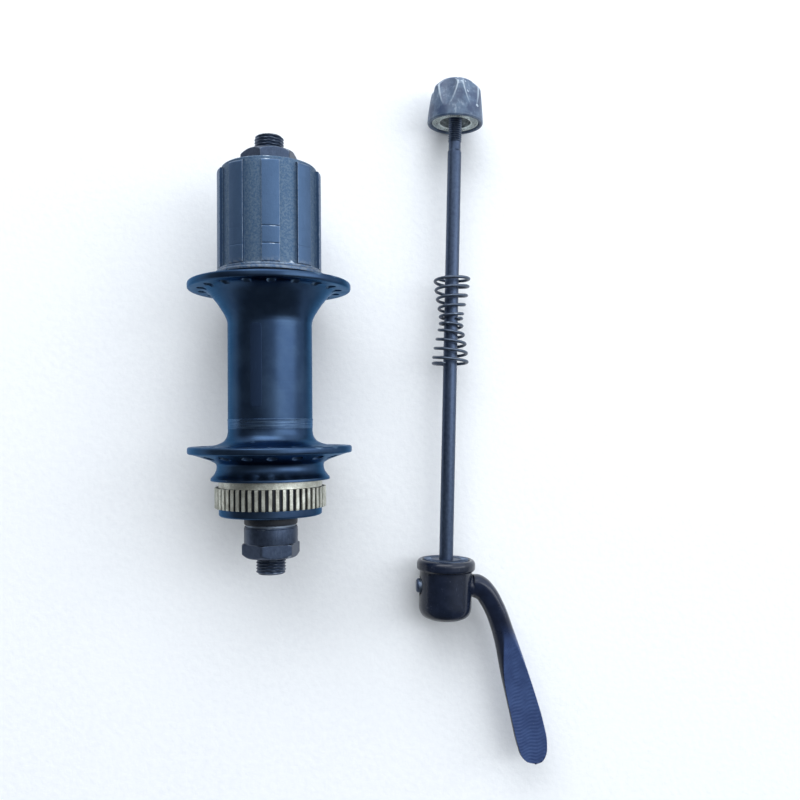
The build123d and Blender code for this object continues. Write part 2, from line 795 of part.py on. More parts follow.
with BuildPart() as nut_serrated_ring:
    low = nut_face + nut_ring_sink
    turned_on_rod([
        (rod_r + 0.15, low + 1.6),
        (nut_ring_r - 2.8, low + 1.6),
        (nut_ring_r - 2.5, low),
        (nut_ring_r, low),
        (nut_ring_r, low + nut_ring_t),
        (rod_r + 0.15, low + nut_ring_t),
    ])
    with BuildSketch(across_rod(low)):
        with PolarLocations(nut_ring_r - 1.0, serration_count):
            Rectangle(3.6, 0.55)
    extrude(amount=0.45, mode=Mode.SUBTRACT)
save(nut_serrated_ring, "nut_serrated_ring")

with BuildPart() as nut_knob:
    crown_y = nut_top - 3.6
    turned_on_rod([
        (0, nut_face),
        (nut_r - 0.4, nut_face),
        (nut_r, nut_face + 0.4),
        (nut_r - 0.1, nut_face + 2.4),
        (nut_crown_r, crown_y),
        (nut_crown_r - 3.6, nut_top),
        (0, nut_top),
    ])
    for scallop in range(scallop_count):
        turn = radians(scallop * 360 / scallop_count + 18)
        foot = bench.from_local_coords((14.3 * sin(turn), nut_face + 4.0, 14.3 * cos(turn)))
        head = bench.from_local_coords((10.0 * sin(turn), nut_top + 1.0, 10.0 * cos(turn)))
        with BuildSketch(Plane(origin=foot, z_dir=head - foot)):
            Circle(4.6)
        extrude(amount=(head - foot).length, mode=Mode.SUBTRACT)
    pocket_out = nut_face + nut_pocket_d
    turned_on_rod(ring(0, nut_ring_r + loose_gap, nut_face, pocket_out), mode=Mode.SUBTRACT)
    with BuildSketch(across_rod(pocket_out)):
        RegularPolygon(insert_flats / 2 + seat_gap, 6, major_radius=False)
    extrude(amount=insert_length + seat_gap, mode=Mode.SUBTRACT)
    turned_on_rod(ring(0, rod_r + loose_gap, pocket_out, insert_out + 1.9), mode=Mode.SUBTRACT)
save(nut_knob, "nut_knob")

with BuildPart() as nut_insert:
    with BuildSketch(across_rod(insert_in)):
        RegularPolygon(insert_flats / 2, 6, major_radius=False)
        Circle(rod_r + 0.06, mode=Mode.SUBTRACT)
    extrude(amount=insert_length)
save(nut_insert, "nut_insert")


def cone_spring(narrow_y, direction):
    """Conical spring on the rod, from its narrow end towards its wide end."""
    lean = degrees(atan2(spring_wide_r - spring_narrow_r, spring_length))
    start = bench.from_local_coords((0, narrow_y, 0))
    way = bench.y_dir * direction
    with BuildLine() as coil:
        Helix(spring_length / spring_turns, spring_length, spring_narrow_r, center=start,
              direction=way, cone_angle=lean)
    with BuildSketch(Plane(origin=coil.line @ 0, z_dir=coil.line % 0)) as wire:
        Circle(wire_r)
    sweep(wire.sketch, path=coil.line, is_frenet=True)


with BuildPart() as spring_nut_side:
    cone_spring(spring_middle_y + spring_gap / 2, 1)
save(spring_nut_side, "spring_nut_side")

with BuildPart() as spring_lever_side:
    cone_spring(spring_middle_y - spring_gap / 2, -1)
save(spring_lever_side, "spring_lever_side")
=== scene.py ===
import json
from math import asin, pi, radians, tau

import bpy
import numpy as np
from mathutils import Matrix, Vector


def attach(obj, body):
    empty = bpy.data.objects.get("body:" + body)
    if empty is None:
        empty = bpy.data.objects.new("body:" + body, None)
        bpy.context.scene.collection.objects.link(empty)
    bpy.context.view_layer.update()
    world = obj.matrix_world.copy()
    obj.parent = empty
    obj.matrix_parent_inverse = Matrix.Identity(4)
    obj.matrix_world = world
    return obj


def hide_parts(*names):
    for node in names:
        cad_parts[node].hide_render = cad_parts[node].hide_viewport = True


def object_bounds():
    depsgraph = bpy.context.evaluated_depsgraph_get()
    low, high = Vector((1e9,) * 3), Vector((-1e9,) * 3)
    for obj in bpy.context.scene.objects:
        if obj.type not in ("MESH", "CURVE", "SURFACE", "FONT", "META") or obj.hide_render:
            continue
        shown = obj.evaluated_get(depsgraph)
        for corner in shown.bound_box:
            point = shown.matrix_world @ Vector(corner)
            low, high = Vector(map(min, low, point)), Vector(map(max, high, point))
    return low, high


# A rear bicycle hub and its quick-release skewer, lying side by side on a pale table.
# The frame gives every place and size. Pieces are worked out in millimetres in one of three
# local frames, the hub's, the skewer's or the lever pivot's, each with its axis along local Y.

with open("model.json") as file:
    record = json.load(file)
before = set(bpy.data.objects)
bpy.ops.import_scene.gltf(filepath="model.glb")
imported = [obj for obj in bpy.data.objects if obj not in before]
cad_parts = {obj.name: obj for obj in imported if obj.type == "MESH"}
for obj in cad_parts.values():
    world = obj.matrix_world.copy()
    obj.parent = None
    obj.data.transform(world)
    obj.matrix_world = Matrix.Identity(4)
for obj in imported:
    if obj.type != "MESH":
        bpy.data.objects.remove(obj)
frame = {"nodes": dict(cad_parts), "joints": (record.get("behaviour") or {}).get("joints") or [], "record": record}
cad_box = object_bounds()
nodes = frame["nodes"]
joints = {joint["name"]: joint for joint in frame["joints"]}
mounts = {mount["name"]: mount["pos_m"] for mount in frame["record"]["mounts"]}


# ------------------------------------------------------------------ places read from the frame


def unit(vector):
    """A vector scaled to length one."""
    vector = np.array(vector, float)
    return vector / np.linalg.norm(vector)


def local_frame(origin, across, along):
    """Origin in millimetres with its three axes as rows: across, along, and square to both."""
    return np.array(origin, float) * 1000, np.array([across, along, np.cross(across, along)])


rod_way = unit(joints["cup_slide"]["axis"])
pivot_way = unit(joints["lever_swing"]["axis"])
pivot_at = joints["lever_swing"]["pos_m"]
HUB = local_frame((0, 0, 0), (1, 0, 0), (0, 1, 0))
ROD = local_frame(pivot_at, pivot_way, rod_way)
PIVOT = local_frame(pivot_at, (0, 0, 1), pivot_way)

# Sizes in millimetres that the frame's boxes don't give.
TUBE = 13.95
SPLINE_CREST, SPLINE_FLOOR = 17.25, 15.95
NUT_BORE = 5.02
FLANGE_HALF = 1.2
SPOKE_CIRCLE, SPOKE_HOLES = 22.5, 18
AXLE_PITCH, ROD_PITCH = 1.0, 0.8


def place(points, where):
    """Local millimetres to metres in the shared frame: the origin plus each axis by its amount."""
    origin, axes = where
    return (origin + points @ axes) / 1000


def local(node, where):
    """A CAD node's vertices in local millimetres."""
    mesh = nodes[node].data
    points = np.empty(len(mesh.vertices) * 3)
    mesh.vertices.foreach_get("co", points)
    origin, axes = where
    return (points.reshape(-1, 3) * 1000 - origin) @ axes.T


def span(node, where=HUB):
    """Lowest and highest station of a CAD node along the local axis, in millimetres."""
    stations = local(node, where)[:, 1]
    return stations.min(), stations.max()


def reach(node, where=HUB):
    """Smallest and largest distance of a CAD node's vertices from the local axis."""
    points = local(node, where)
    distance = np.hypot(points[:, 0], points[:, 2])
    return distance.min(), distance.max()


# ------------------------------------------------------------------ outlines and surfaces


def drop_repeats(points):
    """Points without those that lie on the one before."""
    step = np.linalg.norm(np.diff(points, axis=0), axis=1)
    return points[np.concatenate([[True], step > 1e-5])]


def soften(corners, steps=4):
    """Corners (across, along, cut) with each turned into a small curve: a quadratic curve from
    the point that lies cut before the corner to the point that lies cut after it."""
    corners = np.array(corners, float)
    spots, cut = corners[:, :2], corners[:, 2:]
    back = np.roll(spots, 1, 0) - spots
    ahead = np.roll(spots, -1, 0) - spots
    back /= np.linalg.norm(back, axis=1, keepdims=True) + 1e-9
    ahead /= np.linalg.norm(ahead, axis=1, keepdims=True) + 1e-9
    share = np.linspace(0, 1, steps)[None, :, None]
    start, middle, end = (spots + back * cut)[:, None], spots[:, None], (spots + ahead * cut)[:, None]
    curve = (1 - share) ** 2 * start + 2 * share * (1 - share) * middle + share**2 * end
    return drop_repeats(curve.reshape(-1, 2))


def spread(points, step, looped=True):
    """The same outline with further points so that none are more than a step apart."""
    if looped:
        points = np.vstack([points, points[:1]])
    points = drop_repeats(points)
    length = np.concatenate([[0], np.cumsum(np.linalg.norm(np.diff(points, axis=0), axis=1))])
    even = np.linspace(0, length[-1], int(length[-1] / step) + 2)
    gap = np.abs(even[:, None] - length[None]).min(1)
    every = np.sort(np.concatenate([length, even[gap > step * 0.3]]))
    out = np.stack([np.interp(every, length, points[:, side]) for side in (0, 1)], 1)
    return out[:-1] if looped else out


def smooth_line(points, count):
    """Curve through the points: a cubic between neighbours whose slope at each point is that of
    the line between the points before and after it, by length along the chords."""
    points = np.array(points, float)
    length = np.concatenate([[0], np.cumsum(np.linalg.norm(np.diff(points, axis=0), axis=1))])
    slope = np.gradient(points, length, axis=0)
    at = np.linspace(0, length[-1], count)
    cell = np.clip(np.searchsorted(length, at, side="right") - 1, 0, len(points) - 2)
    width = length[cell + 1] - length[cell]
    share = ((at - length[cell]) / width)[:, None]
    width = width[:, None]
    return (
        (2 * share**3 - 3 * share**2 + 1) * points[cell]
        + (share**3 - 2 * share**2 + share) * width * slope[cell]
        + (3 * share**2 - 2 * share**3) * points[cell + 1]
        + (share**3 - share**2) * width * slope[cell + 1]
    )


def ramp(value, low, high):
    """0 below low, 1 above high, and a smooth cubic step between."""
    share = np.clip((value - low) / (high - low), 0, 1)
    return share * share * (3 - 2 * share)


def soft_min(first, second, width):
    """The smaller of two values, blended over a width: minus the log of the summed exponentials."""
    lowest = np.minimum(first, second)
    gap = np.abs(first - second)
    return lowest - width * np.log1p(np.exp(-gap / width))


def saw(value):
    """Triangle wave from 0 to 1 and back over each whole number."""
    return 1 - np.abs(2 * (value % 1) - 1)


def skin(points, looped_rows):
    """Vertices and faces of a grid whose columns wrap round. Looped rows close like a ring, and
    open rows are closed by a fan at the middle of the first and of the last row."""
    rows, columns = points.shape[:2]
    vertices = points.reshape(-1, 3)
    i, j = np.meshgrid(
        np.arange(rows if looped_rows else rows - 1), np.arange(columns), indexing="ij"
    )
    below, beside = (i + 1) % rows, (j + 1) % columns
    corners = [i * columns + j, below * columns + j, below * columns + beside, i * columns + beside]
    quads = np.stack(corners, -1).reshape(-1, 4)
    fans = np.zeros((0, 3), int)
    if not looped_rows:
        vertices = np.vstack([vertices, points[0].mean(0), points[-1].mean(0)])
        pole = rows * columns
        first = np.arange(columns)
        after = (first + 1) % columns
        last = (rows - 1) * columns
        start = np.stack([np.full(columns, pole), first, after], -1)
        end = np.stack([np.full(columns, pole + 1), last + after, last + first], -1)
        fans = np.vstack([start, end])
    a, b, c, d = (vertices[quads[:, k]] for k in range(4))
    volume = (a * (np.cross(b, c) + np.cross(c, d))).sum()
    if len(fans):
        a, b, c = (vertices[fans[:, k]] for k in range(3))
        volume += (a * np.cross(b, c)).sum()
    if volume < 0:
        quads, fans = quads[:, ::-1], fans[:, ::-1]
    return vertices, quads.tolist() + fans.tolist()


def mesh_piece(name, vertices, faces, crease=30):
    """A mesh object at the origin, smooth except where faces meet at more than the crease."""
    mesh = bpy.data.meshes.new(name)
    mesh.from_pydata(vertices.tolist(), [], faces)
    mesh.validate()
    mesh.polygons.foreach_set("use_smooth", np.ones(len(mesh.polygons), bool))
    mesh.set_sharp_from_angle(angle=radians(crease))
    piece = bpy.data.objects.new(name, mesh)
    bpy.context.scene.collection.objects.link(piece)
    return piece


def settle(piece, material, body, slot, *replaced):
    """Gives a finished piece its material and its body, and hides the CAD nodes it stands for; the slot is not
    used.
    """
    piece.data.materials.clear()
    piece.data.materials.append(material)
    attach(piece, body)
    if replaced:
        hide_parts(*replaced)
    return piece


def turned(name, outline, where=HUB, angles=96, looped=True, shape=None, bend=None, crease=30):
    """Surface of revolution: each outline point (radius, station) goes round the local axis, and
    the shape function may change radius and station by angle, counted from local Z towards X."""
    outline = np.array(outline, float)
    angle = np.arange(angles) * tau / angles if np.isscalar(angles) else angles
    radius = np.repeat(outline[:, :1], len(angle), 1)
    station = np.repeat(outline[:, 1:2], len(angle), 1)
    angle = np.broadcast_to(angle, radius.shape)
    if shape:
        radius, station = shape(radius, station, angle)
    points = np.stack([radius * np.sin(angle), station, radius * np.cos(angle)], -1)
    if bend:
        points = bend(points)
    vertices, faces = skin(points, looped)
    return mesh_piece(name, place(vertices, where), faces, crease)


def carve(piece, cutters, crease=30):
    """Cuts the other meshes out of a piece, exactly, and keeps only the result."""
    for cutter in cutters:
        cut = piece.modifiers.new("cut", "BOOLEAN")
        cut.operation = "DIFFERENCE"
        cut.solver = "EXACT"
        cut.object = cutter
    bpy.context.view_layer.update()
    seen = piece.evaluated_get(bpy.context.evaluated_depsgraph_get())
    mesh = bpy.data.meshes.new_from_object(seen)
    piece.modifiers.clear()
    piece.data = mesh
    for cutter in cutters:
        bpy.data.objects.remove(cutter)
    mesh.polygons.foreach_set("use_smooth", np.ones(len(mesh.polygons), bool))
    mesh.set_sharp_from_angle(angle=radians(crease))
    return piece


# ------------------------------------------------------------------ finishes


def set_range(node, low, high, first, last):
    """Makes a map range node step smoothly from first at low to last at high."""
    node.interpolation_type = "SMOOTHSTEP"
    amounts = (low, high, first, last)
    for name, amount in zip(("From Min", "From Max", "To Min", "To Max"), amounts):
        node.inputs[name].default_value = amount


class Finish:
    """One procedural material, built node by node on Object coordinates in millimetres."""

    def __init__(self, name, metallic=0.0, specular=0.5, coat=0.0, tint=(1.0, 1.0, 1.0), where=HUB):
        self.material = bpy.data.materials.new(name)
        self.material.use_nodes = True
        self.tree = self.material.node_tree
        self.shader = self.tree.nodes["Principled BSDF"]
        self.shader.inputs["Metallic"].default_value = metallic
        self.shader.inputs["Specular IOR Level"].default_value = specular
        self.shader.inputs["Coat Weight"].default_value = coat
        self.shader.inputs["Coat Roughness"].default_value = 0.12
        self.shader.inputs["Specular Tint"].default_value = (*tint, 1.0)
        turn = np.arctan2(-where[1][1][0], where[1][1][1])
        coordinates = self.tree.nodes.new("ShaderNodeTexCoord")
        mapping = self.tree.nodes.new("ShaderNodeMapping")
        mapping.vector_type = "TEXTURE"
        mapping.inputs["Location"].default_value = tuple(where[0] / 1000)
        mapping.inputs["Rotation"].default_value = (0.0, 0.0, float(turn))
        mapping.inputs["Scale"].default_value = (0.001, 0.001, 0.001)
        self.tree.links.new(coordinates.outputs["Object"], mapping.inputs["Vector"])
        self.where = mapping.outputs["Vector"]

    def wire(self, value, socket):
        """Links a socket, or sets a number or colour."""
        if isinstance(value, bpy.types.NodeSocket):
            self.tree.links.new(value, socket)
        else:
            socket.default_value = value

    def stretched(self, stretch):
        """The coordinates multiplied by a number along each axis."""
        node = self.tree.nodes.new("ShaderNodeVectorMath")
        node.operation = "MULTIPLY"
        self.wire(self.where, node.inputs[0])
        node.inputs[1].default_value = stretch
        return node.outputs[0]

    def noise(self, scale, detail=3.0, rough=0.55, stretch=None):
        """Soft random value from 0 to 1, with scale in patches per millimetre."""
        node = self.tree.nodes.new("ShaderNodeTexNoise")
        self.wire(self.stretched(stretch) if stretch else self.where, node.inputs["Vector"])
        node.inputs["Scale"].default_value = scale
        node.inputs["Detail"].default_value = detail
        node.inputs["Roughness"].default_value = rough
        return node.outputs["Fac"]

    def cells(self, scale):
        """Distance to the nearest of many scattered points, for specks and pits."""
        node = self.tree.nodes.new("ShaderNodeTexVoronoi")
        self.wire(self.where, node.inputs["Vector"])
        node.inputs["Scale"].default_value = scale
        return node.outputs["Distance"]

    def step(self, value, low, high, first=0.0, last=1.0):
        """A value carried smoothly from first at low to last at high."""
        node = self.tree.nodes.new("ShaderNodeMapRange")
        self.wire(value, node.inputs["Value"])
        set_range(node, low, high, first, last)
        return node.outputs["Result"]

    def combine(self, how, first, second):
        """Two values through one arithmetic step."""
        node = self.tree.nodes.new("ShaderNodeMath")
        node.operation = how
        self.wire(first, node.inputs[0])
        self.wire(second, node.inputs[1])
        return node.outputs[0]

    def times(self, first, second):
        """Two values multiplied."""
        return self.combine("MULTIPLY", first, second)

    def plus(self, first, second):
        """Two values added."""
        return self.combine("ADD", first, second)

    def specks(self, scale, small, large, patches, low, high):
        """Scattered round specks that show only where a patchy value is high."""
        spots = self.step(self.cells(scale), small, large, 1.0, 0.0)
        return self.times(spots, self.step(patches, low, high))

    def blend(self, share, first, second):
        """Two colours mixed by a share."""
        node = self.tree.nodes.new("ShaderNodeMix")
        node.data_type = "RGBA"
        self.wire(share, node.inputs[0])
        for value, socket in ((first, node.inputs[6]), (second, node.inputs[7])):
            self.wire(value if isinstance(value, bpy.types.NodeSocket) else (*value, 1.0), socket)
        return node.outputs[2]

    def over(self, share, amount, color, top):
        """A colour with another laid over it by a share times an amount."""
        return self.blend(self.times(share, amount), color, top)

    def axis(self, which):
        """One coordinate in millimetres."""
        node = self.tree.nodes.new("ShaderNodeSeparateXYZ")
        self.wire(self.where, node.inputs[0])
        return node.outputs[which]

    def from_axis(self):
        """Distance from the local axis in millimetres."""
        x, z = self.axis(0), self.axis(2)
        return self.combine("SQRT", self.plus(self.times(x, x), self.times(z, z)), 0.0)

    def facing(self, which):
        """One part of the surface's own outward direction."""
        coordinates = self.tree.nodes.new("ShaderNodeTexCoord")
        node = self.tree.nodes.new("ShaderNodeSeparateXYZ")
        self.tree.links.new(coordinates.outputs["Normal"], node.inputs[0])
        return node.outputs[which]

    def edges(self, low, high):
        """1 on outer edges and 0 elsewhere, from how far the surface turns."""
        node = self.tree.nodes.new("ShaderNodeNewGeometry")
        return self.step(node.outputs["Pointiness"], low, high)

    def finish(self, color, rough, bump=None, depth=0.05):
        """Joins colour, roughness and height to the shader; depth is in millimetres."""
        self.wire(color, self.shader.inputs["Base Color"])
        self.wire(rough, self.shader.inputs["Roughness"])
        if bump is not None:
            node = self.tree.nodes.new("ShaderNodeBump")
            node.inputs["Distance"].default_value = depth / 1000
            node.inputs["Strength"].default_value = 1.0
            self.wire(bump, node.inputs["Height"])
            self.wire(node.outputs["Normal"], self.shader.inputs["Normal"])
        return self.material


def satin_anodised():
    """Dark blue-black anodised aluminium: fine turning lines, faint cloudiness and dust specks."""
    f = Finish("satin_anodised", metallic=1.0, tint=(0.5, 0.72, 1.0))
    lines = f.noise(9.0, 2.0, 0.6, stretch=(0.01, 1.0, 0.01))
    cloud = f.noise(0.12, 4.0)
    dust = f.specks(1.6, 0.02, 0.07, f.noise(0.35), 0.52, 0.62)
    color = f.blend(f.step(cloud, 0.35, 0.7), (0.025, 0.046, 0.090), (0.038, 0.067, 0.120))
    color = f.over(dust, 0.45, color, (0.22, 0.25, 0.3))
    color = f.over(f.edges(0.52, 0.60), 0.5, color, (0.14, 0.21, 0.30))
    rough = f.plus(f.step(lines, 0.3, 0.7, 0.27, 0.36), f.step(cloud, 0.3, 0.7, 0.0, 0.05))
    return f.finish(color, rough, lines, 0.006)


def brushed_band():
    """The same dark aluminium as a brighter turned band, with stronger circular marks."""
    f = Finish("turned_band", metallic=1.0, tint=(0.5, 0.72, 1.0))
    lines = f.noise(7.0, 3.0, 0.7, stretch=(0.015, 1.0, 0.015))
    scuff = f.noise(0.5, 3.0, stretch=(0.3, 2.0, 0.3))
    color = f.blend(f.step(lines, 0.4, 0.65), (0.036, 0.066, 0.13), (0.10, 0.16, 0.25))
    rough = f.step(scuff, 0.3, 0.7, 0.25, 0.42)
    return f.finish(color, rough, lines, 0.012)


def printed_panel():
    """Matt dark print on the tube."""
    f = Finish("printed_panel", metallic=0.9, specular=0.3, tint=(0.5, 0.72, 1.0))
    grain = f.noise(3.0, 4.0, 0.7)
    color = f.blend(grain, (0.018, 0.034, 0.072), (0.026, 0.046, 0.092))
    return f.finish(color, f.step(grain, 0.3, 0.7, 0.42, 0.55), grain, 0.004)


def freehub_steel():
    """Dark heat-treated steel: blue-grey lands, brown dust in the grooves, pale worn edges."""
    f = Finish("freehub_steel", metallic=0.75, specular=0.35)
    radius = f.from_axis()
    low = f.step(radius, 16.1, 16.6, 1.0, 0.0)
    fine = f.noise(2.6, 5.0, 0.7)
    cloud = f.noise(0.22, 4.0, 0.6)
    dust = f.step(f.noise(1.4, 6.0, 0.75), 0.42, 0.62)
    steel = f.blend(cloud, (0.045, 0.086, 0.160), (0.072, 0.126, 0.222))
    floor = f.blend(dust, (0.056, 0.102, 0.176), (0.102, 0.152, 0.215))
    color = f.blend(low, steel, floor)
    base = span("freehub_body")[0]
    grime_zone = f.step(f.axis(1), base + 1.4, base + 4.5, 1.0, 0.0)
    grime = f.times(grime_zone, f.step(f.noise(0.9, 5.0, 0.7), 0.4, 0.6))
    color = f.over(grime, 0.6, color, (0.21, 0.235, 0.26))
    pits = f.specks(1.3, 0.05, 0.16, f.noise(0.5), 0.5, 0.62)
    color = f.over(pits, 0.6, color, (0.02, 0.025, 0.035))
    worn = f.times(f.edges(0.515, 0.56), f.step(f.noise(0.7, 4.0, 0.7), 0.35, 0.55))
    color = f.blend(worn, color, (0.40, 0.47, 0.55))
    rough = f.plus(f.step(fine, 0.3, 0.7, 0.38, 0.5), f.times(low, 0.12))
    return f.finish(color, rough, f.plus(fine, f.times(dust, 0.6)), 0.02)


def black_oxide(name="black_oxide", where=HUB, lift=1.0):
    """Black oxide steel, lightly oiled: mottled, with fine scratches and paler edges."""
    f = Finish(name, metallic=0.8, specular=0.5, where=where)
    mottle = f.noise(0.9, 5.0, 0.65)
    scratches = f.step(f.noise(5.0, 2.0, 0.5, stretch=(1.0, 0.06, 1.0)), 0.62, 0.7)
    dark, pale = np.array((0.033, 0.048, 0.082)), np.array((0.048, 0.068, 0.112))
    color = f.blend(f.step(mottle, 0.3, 0.7), tuple(dark * lift), tuple(pale * lift))
    color = f.over(scratches, 0.14, color, (0.2, 0.24, 0.3))
    color = f.over(f.edges(0.52, 0.58), 0.6, color, (0.26, 0.31, 0.38))
    return f.finish(color, f.step(mottle, 0.3, 0.7, 0.34, 0.42), mottle, 0.005)


def dull_nickel():
    """Warm dull nickel plate with tarnish in patches, dark pin spots, and painted shade in the spline grooves."""
    f = Finish("dull_nickel", metallic=0.85)
    radius = f.from_axis()
    grain = f.noise(2.2, 6.0, 0.75)
    patches = f.noise(0.35, 4.0, 0.65)
    spots = f.specks(1.1, 0.06, 0.17, f.noise(0.6), 0.47, 0.6)
    color = f.blend(f.step(patches, 0.35, 0.65), (0.62, 0.63, 0.56), (0.42, 0.42, 0.36))
    color = f.blend(f.step(grain, 0.45, 0.7, 0.0, 0.5), color, (0.30, 0.28, 0.22))
    color = f.over(spots, 0.85, color, (0.07, 0.055, 0.04))
    # painted shade: the groove floors between the spline teeth are darkened nearly to black
    groove = f.step(radius, 17.55, 18.12, 1.0, 0.0)
    groove = f.times(groove, f.step(radius, 17.1, 17.2))
    color = f.over(groove, 0.97, color, (0.012, 0.015, 0.024))
    return f.finish(color, f.step(grain, 0.3, 0.7, 0.36, 0.55), grain, 0.03)


def bright_zinc(name, where, face=None):
    """Zinc plate, slightly cloudy. With a face station, whatever lies deeper than it is darkened as painted shade.
    """
    f = Finish(name, metallic=1.0, where=where)
    cloud = f.noise(1.2, 5.0, 0.7)
    color = f.blend(f.step(cloud, 0.35, 0.7), (0.86, 0.93, 0.91), (0.58, 0.65, 0.64))
    if face is not None:
        # painted shade: surfaces deeper than the ring's face are darkened, as if shaded inside the nut
        deep = f.step(f.axis(1), face + 0.06, face + 0.34)
        color = f.over(deep, 0.85, color, (0.045, 0.06, 0.07))
    return f.finish(color, f.step(cloud, 0.3, 0.7, 0.22, 0.42), cloud, 0.01)


def bearing_steel():
    """Ground bearing steel with fine grinding lines."""
    f = Finish("bearing_steel", metallic=1.0)
    lines = f.noise(8.0, 2.0, 0.6, stretch=(0.03, 1.0, 0.03))
    color = f.blend(lines, (0.55, 0.56, 0.58), (0.68, 0.69, 0.71))
    return f.finish(color, f.step(lines, 0.3, 0.7, 0.12, 0.24), lines, 0.002)


def black_rubber():
    """Black seal rubber with a dusty bloom."""
    f = Finish("black_rubber", specular=0.4)
    dust = f.noise(1.8, 5.0, 0.7)
    color = f.blend(f.step(dust, 0.45, 0.75), (0.008, 0.012, 0.022), (0.022, 0.029, 0.043))
    return f.finish(color, f.step(dust, 0.3, 0.7, 0.45, 0.62), dust, 0.01)


def gloss_paint(name, where, lift=1.0):
    """Gloss blue-black paint: gentle orange peel, hairline scratches and a few pale chips."""
    f = Finish(name, specular=0.3, coat=0.12, where=where)
    peel = f.noise(1.1, 2.0, 0.4)
    haze = f.noise(0.25, 4.0)
    hair = f.step(f.noise(3.0, 3.0, 0.6, stretch=(1.0, 0.15, 1.0)), 0.66, 0.72)
    chips = f.specks(0.9, 0.03, 0.08, haze, 0.55, 0.6)
    dark, pale = np.array((0.004, 0.008, 0.020)), np.array((0.008, 0.013, 0.030))
    color = f.blend(f.step(haze, 0.35, 0.7), tuple(dark * lift), tuple(pale * lift))
    color = f.over(hair, 0.2, color, (0.2, 0.23, 0.3))
    color = f.over(chips, 0.8, color, (0.35, 0.38, 0.42))
    return f.finish(color, f.step(haze, 0.3, 0.7, 0.16, 0.28), peel, 0.012)


def blade_paint():
    """The lever's paint, duller on the ribbed thumb face than on the arm. On the blade, surfaces not turned to the
    left take a lighter blue as painted light, and left-turned sides keep the dark paint as painted shade.
    """
    f = Finish("lever_paint", specular=0.3, coat=0.1, where=ROD)
    down = f.step(f.axis(1), -22.0, -12.0, 1.0, 0.0)
    haze = f.noise(0.3, 4.0)
    grain = f.noise(2.2, 4.0, 0.6)
    specks = f.specks(0.8, 0.03, 0.08, f.noise(0.4), 0.55, 0.62)
    # painted light: the face colour is a lighter blue copy of the paint, shown on the blade only where the surface
    # does not face left; left-facing sides keep the dark arm colour as painted shade
    face = f.blend(f.step(haze, 0.3, 0.7), (0.028, 0.052, 0.142), (0.040, 0.072, 0.182))
    arm = f.blend(f.step(haze, 0.3, 0.7), (0.005, 0.009, 0.024), (0.009, 0.015, 0.036))
    upward = f.step(f.facing(0), -0.40, -0.15)
    color = f.over(down, upward, arm, face)
    color = f.over(specks, 0.7, color, (0.3, 0.33, 0.38))
    rough = f.plus(f.step(grain, 0.3, 0.7, 0.16, 0.24), f.times(down, 0.22))
    return f.finish(color, rough, grain, 0.006)


def worn_plastic():
    """Dark grey-blue plastic, rubbed pale on its ribs and scuffed in patches."""
    f = Finish("worn_plastic", metallic=0.0, specular=0.5, where=ROD)
    grain = f.noise(2.4, 5.0, 0.7)
    patch = f.noise(0.22, 5.0, 0.65)
    streak = f.noise(0.9, 4.0, 0.65, stretch=(1.0, 0.45, 1.0))
    color = f.blend(f.step(patch, 0.35, 0.65), (0.024, 0.048, 0.110), (0.078, 0.128, 0.205))
    rubbed = f.times(f.step(streak, 0.5, 0.68), f.step(patch, 0.42, 0.6))
    color = f.over(rubbed, 0.5, color, (0.30, 0.36, 0.43))
    ridge = f.times(f.edges(0.505, 0.54), f.step(grain, 0.3, 0.55, 0.4, 1.0))
    color = f.blend(ridge, color, (0.42, 0.50, 0.58))
    return f.finish(color, f.step(grain, 0.3, 0.7, 0.34, 0.52), grain, 0.02)


def table_top():
    """Pale cool board with a very faint grain."""
    f = Finish("table_top", specular=0.25)
    grain = f.noise(0.45, 5.0, 0.65)
    wide = f.noise(0.03, 3.0)
    color = f.blend(f.step(grain, 0.3, 0.7), (0.91, 0.915, 0.925), (0.945, 0.95, 0.955))
    color = f.blend(f.step(wide, 0.3, 0.7, 0.0, 0.5), color, (0.94, 0.945, 0.95))
    return f.finish(color, f.step(grain, 0.3, 0.7, 0.55, 0.7), grain, 0.12)


# ------------------------------------------------------------------ axle, locknuts and spacer


def axle_piece():
    """Hollow axle: a turned bar whose ends carry a helical thread, a triangle wave of depth over
    the station plus the share of a turn, fading out at the tip."""
    tip = span("axle")[1]
    bore = reach("axle")[0]
    nut_out = span("drive_locknut")[1]
    nose, crest, waist = 4.4, 4.95, 4.55
    corners = [(bore, -tip, 0.3), (nose, -tip, 0.3), (crest, 0.55 - tip, 0.15),
               (crest, 0.3 - nut_out, 0), (waist, 0.9 - nut_out, 0), (waist, nut_out - 0.9, 0),
               (crest, nut_out - 0.3, 0), (crest, tip - 0.55, 0.15), (nose, tip, 0.3),
               (bore, tip, 0.3)]
    outline = spread(soften(corners), 0.11)
    middle = (np.abs(outline[:, 1]) < nut_out - 1.2) & (np.abs(outline[:, 1] * 2 % 1) > 0.25)
    outline = outline[~middle]

    def thread(radius, station, angle):
        zone = ramp(np.abs(station), nut_out - 0.4, nut_out - 0.1) * ramp(radius, 4.2, 4.6)
        return radius - 0.46 * zone * (1 - saw(station / AXLE_PITCH + angle / tau)) ** 0.8, station

    return turned("axle_bar", outline, angles=72, shape=thread, crease=50)


